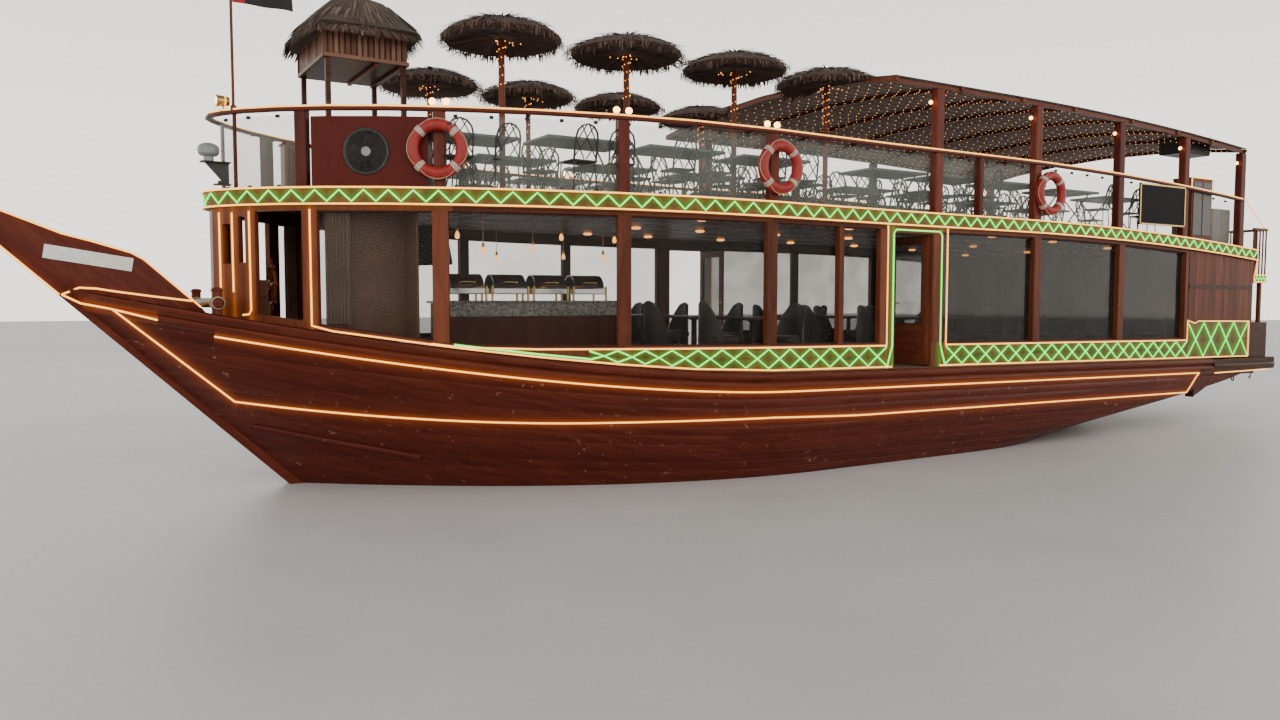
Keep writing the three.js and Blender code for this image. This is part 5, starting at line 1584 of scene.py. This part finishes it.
# Aft cabinet: two grey doors with knobs, a plinth and a lid.
cabinetSet = {"doors": ((-8.60, -8.905), (-8.935, -9.24)), "face": 3.08, "head": 4.82, "lid": 4.88}
foot = deckOver(-8.92)
face, lid = cabinetSet["face"], cabinetSet["lid"]
doors = [
    board((aft, face, foot + 0.10), (fore, face + 0.014, cabinetSet["head"]), 0.004)
    for fore, aft in cabinetSet["doors"]
]
piece("cabinetDoors", merged(doors), slate)
trimParts = [
    board((-9.295, 2.69, lid), (-8.545, 3.10, lid + 0.025), 0.005),
    board((-9.285, face, foot + 0.01), (-8.555, 3.10, foot + 0.08), 0.005),
]
piece("cabinetTrim", merged(trimParts), railWood)
knobs = repeated(ball(0.014, sides=10), [(-8.88, 3.104, 4.5), (-8.96, 3.104, 4.5)])
piece("cabinetKnobs", knobs, brass)
locker = [board((-10.30, 2.45, foot - 0.02), (-9.62, 2.92, 4.36), 0.010)]
for x in (-10.28, -9.95):
    locker.append(board((x, 2.92, foot + 0.05), (x + 0.31, 2.932, 4.32), 0.004))
piece("quarterLocker", merged(locker), taupe)

# Loudspeaker under the canopy.
speakerSet = {"low": (-9.70, 2.28, 5.43), "high": (-8.72, 2.80, 5.80)}
speaker = [board(speakerSet["low"], speakerSet["high"], 0.02)]
cone = [[0, -0.01], [0.13, -0.01], [0.135, 0.004], [0.12, 0.012], [0.05, 0.002], [0.03, 0.008], [0, 0.010]]
cone = lathe(cone, 22).turned(-math.pi / 2, "x")
for x in (-9.45, -8.97):
    speaker.append(cone.moved((x, 2.805, 5.615)))
for x in (-9.55, -8.87):
    speaker.append(board((x, 2.52, 5.79), (x + 0.03, 2.56, float(roofAt(x, 2.54, 0.09))), 0.004))
piece("loudspeaker", merged(speaker), blackPaint)

# Stern platform: rounded rub rail, curved gusset, shackle and hook at each quarter.
rubPath = [(-9.12, 3.28, 1.19), (-9.5, 3.302, 1.18), (-11.4, 3.302, 1.15), (-11.545, 3.26, 1.15)]
rubShape = tube(resampled(rubPath, 0.3), 0.052, 12)
piece("rubRails", bothSides(rubShape), darkWood, sharp=80)
kneeX = np.array([-8.50, -8.72, -9.0, -9.3, -9.55, -9.68, -10.2, -10.75])
kneeLow = np.array([0.60, 0.68, 0.79, 0.91, 0.985, 0.995, 0.985, 0.98])
kneeCorners = ((3.12, 1.065), (3.27, 1.065), (3.27, kneeLow), (3.12, kneeLow))
kneeRings = np.stack([coords(kneeX, y, z) for y, z in kneeCorners], 1)
piece("quarterKnees", bothSides(skin(kneeRings)), darkWood, bevel=0.006)
bow = np.linspace(0, math.pi, 9)
bowPath = coords(-9.99 + 0.045 * np.cos(bow), 3.25, 0.93 - 0.075 * np.sin(bow))
shacklePath = np.concatenate([[(-9.945, 3.25, 1.06)], bowPath, [(-10.035, 3.25, 1.06)]])
hookTurn = np.linspace(0, 1.35 * math.pi, 10)
hookPath = coords(-10.66 - 0.03 * np.cos(hookTurn), 3.25, 0.90 - 0.03 * np.sin(hookTurn))
hookPath = np.concatenate([[(-10.69, 3.25, 1.06)], hookPath])
irons = bothSides(tube(shacklePath, 0.012, 8), tube(hookPath, 0.009, 8))
piece("quarterShackles", irons, ironDark, slot="steel")

# Doors: pane, beads, panels and handles that swing with each leaf.
leafSet = {
    "fore": -1.1307, "aft": -1.1707, "bead": 0.022, "thick": 0.008, "glass": (2.395, 2.970, 2.132, 3.377),
}


def leafTrim(fore, aft, bead, thick, glass):
    y0, y1, z0, z1 = glass
    level = [(y0 - bead, z0 - bead, y1 + bead, z0), (y0 - bead, z1, y1 + bead, z1 + bead)]
    steep = [(y0 - bead, z0, y0, z1), (y1, z0, y1 + bead, z1)]
    parts = []
    for x in (fore, aft - thick):
        parts += [board((x, a, b), (x + thick, c, d), 0.002) for a, b, c, d in level + steep]
        parts.append(board((x, y0, 1.60), (x + thick, y1, 2.02), 0.004, 0.1))
    return merged(parts)


def leafLever(x, out):
    rose = lathe([[0, 0], [0.024, 0], [0.022, 0.008], [0.009, 0.012], [0.009, 0.036], [0, 0.036]], 14)
    grip = [(x + out * 0.033, 2.34, 2.45), (x + out * 0.035, 2.37, 2.45), (x + out * 0.035, 2.45, 2.447)]
    return [rose.turned(out * math.pi / 2, "y").moved((x, 2.34, 2.45)), tube(grip, 0.008, 8)]


y0, y1, z0, z1 = leafSet["glass"]
pane = board((-1.1537, y0 - 0.004, z0 - 0.004), (-1.1477, y1 + 0.004, z1 + 0.004), 0.001)
levers = merged(leafLever(leafSet["fore"], 1), leafLever(leafSet["aft"], -1))
leafParts = (("Trim", leafTrim(**leafSet), railWood), ("Pane", pane, paneGlass), ("Lever", levers, brass))
for side in ("door_port", "door_starboard"):
    for name, made, look in leafParts:
        piece(f"{side}{name}", made if side == "door_port" else made.mirrored(), look, body=side)
print("fittings done")


# Edge board with its two beads, and a thin face between them, painted with the zigzag's light, that knows
# where the zigzag runs.
def strip(s0, s1, inner, outer, low, high, u, v):
    s = planRun(s0, s1)
    corners = [(inner, low), (outer, low), (outer, high), (inner, high)]
    rings = np.stack([planPoints(s, out, line(s)) for out, line in corners], 1)
    grain = np.stack([coords(u(s), v(line(s), s), s) for _, line in corners], 1)
    return skin(rings, grain)


# Timber beside lit strokes, with their light painted on it as glow: grain holds the place along the zigzag,
# the height in it and the distance.
def litBoard(name, tall, run, crossing, glow, below):
    look = Look(name, coat=0.05, coatRoughness=0.18, shine=0.12, strength=1.0)
    figure = look.noise(look.place((1.2, 9, 9), False), 1.3, 5, 0.6, 0.8)
    color = look.ramp(figure, list(zip((0.3, 0.5, 0.7), houseTones)))
    spot = look.place()
    u, v = look.axis(spot, "X"), look.axis(spot, "Y")
    wave = u.folded(2.0)
    leaning = run / math.hypot(run, tall)
    gap = (v - wave).size()
    if crossing:
        gap = gap.least((v + wave - 1).size())
    lit = (gap * (tall * leaning)).near(glow)
    side = look.blend((v - wave).over(0), below, litSet["green"])
    # Painted light: warm glow along the board's edges from the beads, laid over the green glow beside the
    # strokes.
    edges = ((v + 0.3).size().least((1.3 - v).size()) * tall).near(0.018)
    shine = look.blend(edges, look.blend(lit, (0, 0, 0), side), (0.50, 0.15, 0.012))
    look.settle(color=color, glow=shine, normal=look.bump(figure, 0.001))
    return look.settle(roughness=0.3 + figure * 0.15)


# green and dim are colours of painted glow beside the strokes.
litSet = {
    "green": (0.010, 0.34, 0.016), "dim": (0.030, 0.20, 0.012), "edge": 0.14, "tall": 0.66, "tallRun": 0.56,
}
headOver, deckBelow, deckUnder = shifted(headAt, 0.028), shifted(deckAt, -0.028), shifted(deckAt, -0.0005)
edgeSection = [
    (0.0185, headAt), (0.074, headAt), (0.074, headOver), (0.060, headOver),
    (0.060, deckBelow), (0.074, deckBelow), (0.074, deckUnder), (0.0185, deckUnder),
]
piece("edgeBoard", moulding(-houseEnd, houseEnd, edgeSection), boardWood, stands=["fascia"], bevel=0.003)
toothSpan = (2 * houseEnd - 0.04) / teeth
edgeFace = strip(
    -houseEnd + 0.002, houseEnd - 0.002, 0.055, 0.0612, shifted(headAt, 0.0285), shifted(deckAt, -0.0285),
    lambda s: (s + houseEnd - 0.02) / toothSpan, lambda z, s: (z - headAt(s) - 0.045) / litSet["edge"],
)
edgeLit = litBoard("edgeLit", litSet["edge"], toothSpan, False, 0.055, litSet["dim"])
piece("edgeFace", edgeFace, edgeLit)


# Boards behind the crossed strokes, with the strokes' light painted on them.
def bandBoard(x0, x1, cells, high):
    s0, s1 = walkTo(x0), walkTo(x1)

    def across(s):
        return (s - s0) / (s1 - s0) * cells

    def upward(z, s):
        return (z - footLight(s) - bandSet["inset"]) / (high(s) - footLight(s) - 2 * bandSet["inset"])

    low, top = shifted(footAt, 0.006), shifted(high, 0.012)
    return strip(s0 + 0.004, s1 - 0.004, -0.004, 0.0016, low, top, across, upward)


crossTall = ropeHeight(sillLight, -5) - ropeHeight(footLight, -5) - 2 * bandSet["inset"]
crossLit = litBoard("crossLit", crossTall, bandSet["pitch"], True, 0.055, litSet["green"])
tallLit = litBoard("tallLit", litSet["tall"], litSet["tallRun"], True, 0.085, litSet["green"])
crossBoards = [
    bandBoard(bandSet["fore"], doorSet["warm"][0], foreCells, sillLight),
    bandBoard(doorSet["warm"][1], bandSet["tallFore"], aftCells, sillLight),
]
piece("crossBoards", bothSides(crossBoards), crossLit)
piece("tallBoards", bothSides(bandBoard(*tallEnds, bandSet["tallCells"], tallLine)), tallLit)
print("lit boards done")

# Saloon: planked ceiling with pale zigzag cords.
saloonSet = {"fore": 7.4, "aft": -10.6, "plank": 0.22, "under": 0.112, "thick": 0.018}


def floorAt(x):
    return np.asarray(sheer(x)) + 0.006


def halfHouse(x):
    return np.interp(-np.asarray(x, float), -planX, planY) - 0.10


planks = []
for x in np.arange(saloonSet["fore"], saloonSet["aft"], -saloonSet["plank"]):
    top = deckOver(x) - saloonSet["under"]
    half = float(halfHouse(x))
    low = (x - saloonSet["plank"] + 0.006, -half, top - saloonSet["thick"])
    planks.append(board(low, (x, half, top), 0.003, oneTone()))
piece("saloonCeiling", merged(planks), boardWood)
cords = []
for y in (-2.3, -1.4, -0.5, 0.5, 1.4, 2.3):
    x = np.arange(5.2 if abs(y) > 2 else 6.6, -10.0, -0.16)
    z = deckAt(alongAt(x)) - saloonSet["under"] - saloonSet["thick"] - 0.008
    cords.append(tube(coords(x, y + 0.11 * (np.arange(len(x)) % 2 * 2 - 1), z), 0.005, 4))
piece("ceilingCords", merged(cords), whitePaint)

# Hanging lamps: filament bulbs on cords forward, shallow glowing bowls aft.
pendants = [
    (6.03, 1.6, 3.35), (5.63, 1.5, 3.16), (4.76, 1.2, 3.23), (4.31, 1.2, 3.40), (3.4, 0.8, 3.14),
    (3.2, 0.8, 3.42), (5.4, -1.2, 3.25), (4.2, -1.4, 3.2), (3.0, -1.3, 3.25),
]
bowls = [(x, y) for x in (2.2, 0.9, -0.8, -2.6, -4.4, -6.2, -8.0) for y in (1.7, -0.2, -1.9)]
bulb = [
    [0, -0.055], [0.017, -0.05], [0.030, -0.033], [0.032, -0.013],
    [0.025, 0.014], [0.015, 0.045], [0, 0.048],
]
bulbShape = lathe(bulb, 12)
capShape = lathe([[0, 0.044], [0.019, 0.044], [0.021, 0.075], [0.012, 0.105], [0, 0.108]], 10)
bowlShape = lathe([[0, -0.03], [0.06, -0.024], [0.085, 0.0], [0.06, 0.014], [0, 0.018]], 12)
wires = []
for x, y, z in pendants:
    top = deckOver(x) - saloonSet["under"] - 0.01
    wires.append(tube([(x, y, z + 0.10), (x, y, (z + top) / 2), (x, y, top)], 0.004, 6, up=(0, 1, 0)))
bowlTops = [deckOver(x) - 0.16 for x, _ in bowls]
bowlAt = [(x, y, z) for (x, y), z in zip(bowls, bowlTops)]
piece("saloonBulbs", merged(repeated(bulbShape, pendants), repeated(bowlShape, bowlAt)), dimBulb, sharp=80)
piece("saloonLampCaps", merged(repeated(capShape, pendants), *wires), brass)

# Serving counter: stone slab and four warmers with rolled lids.
counterSet = {"fore": 5.6, "aft": 2.6, "top": 2.45}
fore, aft, top = counterSet.values()
slab = board((aft - 0.05, -0.76, top + 0.001), (fore + 0.05, -0.04, top + 0.04), 0.008)
stone = coated("stone", (0.26, 0.24, 0.22), 0.3, 0.0, 0.75, 22.0, coat=0.3)
lip = board((aft - 0.02, -0.049, top - 0.20), (fore + 0.02, -0.035, top - 0.001), 0.003)
piece("counterSlab", merged(slab, lip), stone)
hood = np.linspace(0, math.pi, 9)
hoodRing = coords(0, 0.20 * np.cos(hood), 0.21 * np.sin(hood))
hoodRing = np.concatenate([hoodRing, (hoodRing * (1, 0.96, 0.96))[::-1]])
hoodShape = skin(np.stack([hoodRing + (x, 0, 0) for x in (-0.27, -0.26, 0.26, 0.27)]))
tray = board((-0.29, -0.22, -0.10), (0.29, 0.22, -0.002), 0.012)
legs = [
    board((x - 0.015, y - 0.015, -0.20), (x + 0.015, y + 0.015, 0.03), 0.004)
    for x in (-0.30, 0.30) for y in (-0.21, 0.21)
]
handle = [(-0.12, 0.20, 0.07), (-0.11, 0.245, 0.085), (0.11, 0.245, 0.085), (0.12, 0.20, 0.07)]
handle = tube(handle, 0.009, 6)
warmersAt = [(x, -0.38, 2.69) for x in (5.2, 4.5, 3.8, 3.1)]
polished = coated("polished", (0.55, 0.55, 0.55), 0.15, 1.0, 0.04, 8.0, 0.0)
piece("warmerHoods", repeated(merged(hoodShape, tray), warmersAt), polished)
piece("warmerLegs", repeated(merged(handle, *legs), warmersAt), brass)


# Seats and tables, built low in count since they repeat.
def tub(angles, inner, outer, low, high):
    a = np.radians(angles)
    top = high - (high - low) * 0.62 * (np.abs(angles) / np.abs(angles).max()) ** 2.2
    corners = ((inner, low), (outer, low), (outer, top), (inner, top))
    return skin(np.stack([coords(-r * np.cos(a), r * np.sin(a), z) for r, z in corners], 1))


seat = board((-0.20, -0.24, 0.34), (0.26, 0.24, 0.46), 0.035)
legs = [block((x, y, 0.0), (x + 0.04, y + 0.04, 0.36)) for x in (0.19, -0.16) for y in (-0.22, 0.18)]
armchair = merged(seat, tub(np.linspace(-80, 80, 7), 0.215, 0.27, 0.20, 0.96), legs)
tableTop = board((-0.42, -0.42, 0.70), (0.42, 0.42, 0.74), 0.012)
tableFoot = [[0, 0], [0.24, 0], [0.24, 0.02], [0.05, 0.05], [0.045, 0.66], [0.12, 0.70], [0, 0.70]]
tableFoot = lathe(tableFoot, 8)
saloonTables = [(x, y) for x in (1.7, -2.95, -4.65, -6.35, -8.05) for y in (2.3, 0.78, -0.78, -2.3)]
chairsAt, chairTurns = [], []
for x, y in saloonTables:
    for side in (1, -1):
        chairX = x + side * 0.66
        chairsAt.append((chairX, y + rng.uniform(-0.05, 0.05), float(floorAt(chairX + 0.3))))
        chairTurns.append((math.pi if side > 0 else 0.0) + rng.uniform(-0.2, 0.2))
tablesAt = [(x, y, float(floorAt(x + 0.3))) for x, y in saloonTables]
piece("saloonChairs", repeated(armchair, chairsAt, chairTurns), leather)
table = merged(tableTop, tableFoot)
piece("saloonTables", repeated(table, tablesAt, tones=tones(len(tablesAt))), darkWood)

# Wheelhouse: partition, side locker, screen on its bracket and curtains.
partFloor = float(floorAt(7.4))
walls = []
for y0, y1 in ((0.36, 1.36), (-1.36, -0.36)):
    for y in np.arange(y0, y1 - 0.05, 0.125):
        walls.append(board((7.40, y, partFloor), (7.425, y + 0.121, 3.74), 0.004, oneTone()))
walls.append(board((7.395, -0.36, 3.45), (7.43, 0.36, 3.74), 0.004))
lockerFloor = float(floorAt(7.35))
sideLocker = [
    board((6.62, 1.22, lockerFloor - 0.05), (7.38, 1.25, 3.74), 0.006, 0.05),
    board((6.60, 1.22, lockerFloor - 0.05), (6.63, 1.75, 3.74), 0.006, -0.05),
]
piece("wheelhouseWalls", merged(walls), boardWood)
brownPanel = coated("brownPanel", (0.135, 0.060, 0.030), 0.5, 0.0, 0.15, 3.0)
piece("sideLocker", merged(sideLocker), brownPanel)
aftBoards = [
    board((-9.02, y, floorAt(-9.0)), (-9.0, y + 0.146, 3.70), 0.004, oneTone())
    for y in np.arange(-3.0, 2.9, 0.15)
]
piece("aftPartition", merged(aftBoards), oldWood)
screen = board((-0.06, -0.42, -0.26), (0.0, 0.42, 0.26), 0.012)
screen = screen.turned(0.28, "y").turned(0.5).moved((6.42, 1.35, 3.20))
arm = tube([(6.62, 1.5, 3.25), (6.5, 1.42, 3.22), (6.42, 1.37, 3.20)], 0.02, 8)
piece("saloonScreen", merged(screen, arm), blackPaint)
curtainSet = {"fore": 7.70, "aft": 7.44, "low": 2.20, "high": 3.58, "folds": 7, "depth": 0.022}


def curtainShape(fore, aft, low, high, folds, depth):
    t = np.linspace(0, 1, folds * 8 + 1)
    s = walkTo(fore) + (walkTo(aft) - walkTo(fore)) * t
    z = np.linspace(low, high, 12)
    wave = depth * np.sin(2 * math.pi * folds * t)[:, None] * np.where(z < high - 0.08, 1.0, 0.6)[None]
    faces = []
    for inset in (0.135, 0.1365):
        face = planPoints(s, -inset, 0.0)[:, None] + planNormal(s)[:, None] * wave[..., None]
        face[..., 2] = z
        faces.append(face)
    return skin(np.concatenate([faces[0], faces[1][:, ::-1]], 1))


curtainCloth = clothLook("curtainCloth", (0.24, 0.15, 0.10), 260.0)
curtains = twins(("curtainPort", "curtainStarboard"), curtainShape(**curtainSet), curtainCloth, sharp=80)
print("saloon done")

# Upper deck: grey folding tables and black chairs with lattice backs.
deckTableTop = board((-0.64, -0.39, 0.705), (0.64, 0.39, 0.745), 0.008)
deckLegs = []
for x in (-0.45, 0.45):
    for y0, y1 in ((-0.30, 0.30), (0.30, -0.30)):
        deckLegs.append(tube([(x, y0, 0.0), (x, y1, 0.715)], 0.013, 4, up=(1, 0, 0)))
seat = board((-0.21, -0.21, 0.43), (0.21, 0.21, 0.46), 0.010)
legsUnder = [
    tube([(x * 1.1, y * 1.1, 0.0), (x, y, 0.43)], 0.011, 4, up=(1, 0, 0))
    for x in (-0.18, 0.18) for y in (-0.18, 0.18)
]
arch = np.linspace(0, math.pi, 7)
hoop = coords(-0.25 - 0.04 * np.sin(arch), -0.19 * np.cos(arch), 0.76 + 0.20 * np.sin(arch))
hoop = np.concatenate([[(-0.19, -0.19, 0.46)], hoop, [(-0.19, 0.19, 0.46)]])
lattice = [tube(hoop, 0.016, 4, up=(1, 0, 0))]
for y0, z0, y1, z1 in ((0.18, 0.50, -0.10, 0.93), (0.185, 0.68, 0.02, 0.955), (0.02, 0.47, 0.185, 0.74)):
    for side in (-1, 1):
        ends = [(-0.19 - 0.19 * (z - 0.46), side * y, z) for y, z in ((y0, z0), (y1, z1))]
        lattice.append(tube(ends, 0.010, 4, up=(1, 0, 0)))
deckChair = merged(seat, *legsUnder, *lattice)
sideTables = (5.9, 4.45, 2.95, 1.35, -1.2, -2.75, -4.3, -5.9, -7.4)
spots = [(x, side * min(2.05, float(halfHouse(x)) - 0.72)) for x in sideTables for side in (1, -1)]
spots += [(x, 0.0) for x in (4.6, 2.8, 1.0, -0.8, -2.6, -4.4, -6.2, -8.0)]
tableSpots = [(x, y, deckOver(x)) for x, y in spots]
seatSpots, seatTurns = [], []
for x, y in spots:
    for dx in (-0.30, 0.30):
        for side in (1, -1):
            if rng.uniform() < 0.86:
                seatSpots.append((x + dx, y + side * 0.56, deckOver(x + dx)))
                seatTurns.append(-side * math.pi / 2 + rng.uniform(-0.3, 0.3))
piece("deckTableTops", repeated(deckTableTop, tableSpots), tableGrey)
piece("deckTableLegs", repeated(merged(deckLegs), tableSpots), blackPaint)
piece("deckChairs", repeated(deckChair, seatSpots, seatTurns, scales=0.87), blackPaint)
locker = [board((7.72, 0.62, deckOver(8)), (8.02, 0.88, 4.45), 0.010, 0.1)]
locker.append(board((7.70, 0.605, 4.45), (8.04, 0.90, 4.475), 0.006))
locker.append(board((7.75, 0.88, 3.95), (7.99, 0.892, 4.41), 0.005, -0.05))
piece("bowLocker", merged(locker), boardWood)
pot = lathe([[0, 0], [0.07, 0], [0.095, 0.18], [0.105, 0.20], [0.085, 0.205], [0, 0.19]], 16)
piece("deckPots", repeated(pot, [(7.36, 1.08, deckOver(7.4)), (7.62, 1.12, deckOver(7.6))]), greyTop)
print("decks furnished")

# Studio: a pale floor at the waterline, a pale sky and soft lamps.
studio = {
    "horizon": (2.15, 2.02, 1.84), "zenith": (0.28, 0.31, 0.36), "floor": 120.0,
    "lamps": [
        ("key", (22, 24, 20), (0, 1, 3), (16, 12), 2000, (1.0, 0.95, 0.88), False),
        ("fill", (-24, 26, 12), (-3, 2, 3), (14, 10), 700, (0.90, 0.94, 1.0), False),
        ("back", (4, -30, 18), (0, 0, 4), (18, 10), 900, (0.95, 0.97, 1.0), False),
    ],
}


# Sky that pales toward the horizon, by the height of the direction looked in.
def makeSky(horizon, zenith):
    world = bpy.context.scene.world or bpy.data.worlds.new("sky")
    bpy.context.scene.world = world
    world.use_nodes = True
    tree = world.node_tree
    split = tree.nodes.new("ShaderNodeSeparateXYZ")
    blend = tree.nodes.new("ShaderNodeMix")
    blend.data_type = "RGBA"
    blend.inputs[6].default_value = (*horizon, 1)
    blend.inputs[7].default_value = (*zenith, 1)
    height = tree.nodes.new("ShaderNodeMapRange")
    height.inputs["From Min"].default_value = 0.15
    height.inputs["From Max"].default_value = 0.80
    tree.links.new(tree.nodes.new("ShaderNodeTexCoord").outputs["Generated"], split.inputs[0])
    tree.links.new(split.outputs["Z"], height.inputs["Value"])
    tree.links.new(height.outputs["Result"], blend.inputs[0])
    tree.links.new(blend.outputs[2], tree.nodes["Background"].inputs["Color"])


def makeLamp(name, place, aim, size, power, color, mirrored):
    light = bpy.data.lights.new(name, "AREA")
    light.shape = "RECTANGLE"
    light.size, light.size_y = size
    light.energy = power
    light.color = color
    made = bpy.data.objects.new(name, light)
    bpy.context.scene.collection.objects.link(made)
    made.visible_glossy = mirrored
    made.location = place
    made.rotation_mode = "QUATERNION"
    made.rotation_quaternion = (Vector(aim) - Vector(place)).to_track_quat("-Z", "Y")
    return made


makeSky(studio["horizon"], studio["zenith"])
lamps = [makeLamp(*row) for row in studio["lamps"]]
floorMesh = bpy.data.meshes.new("floor")
reach = studio["floor"]
corners = [(x * reach, y * reach, 0) for x, y in ((-1, -1), (1, -1), (1, 1), (-1, 1))]
floorMesh.from_pydata(corners, [], [(0, 1, 2, 3)])
floorMesh.materials.append(coated("floorPaint", (0.62, 0.62, 0.62), 0.45, 0.0, 0.04, 0.4, 0.0))
floor = bpy.data.objects.new("floor", floorMesh)
bpy.context.scene.collection.objects.link(floor)
print("studio ready")
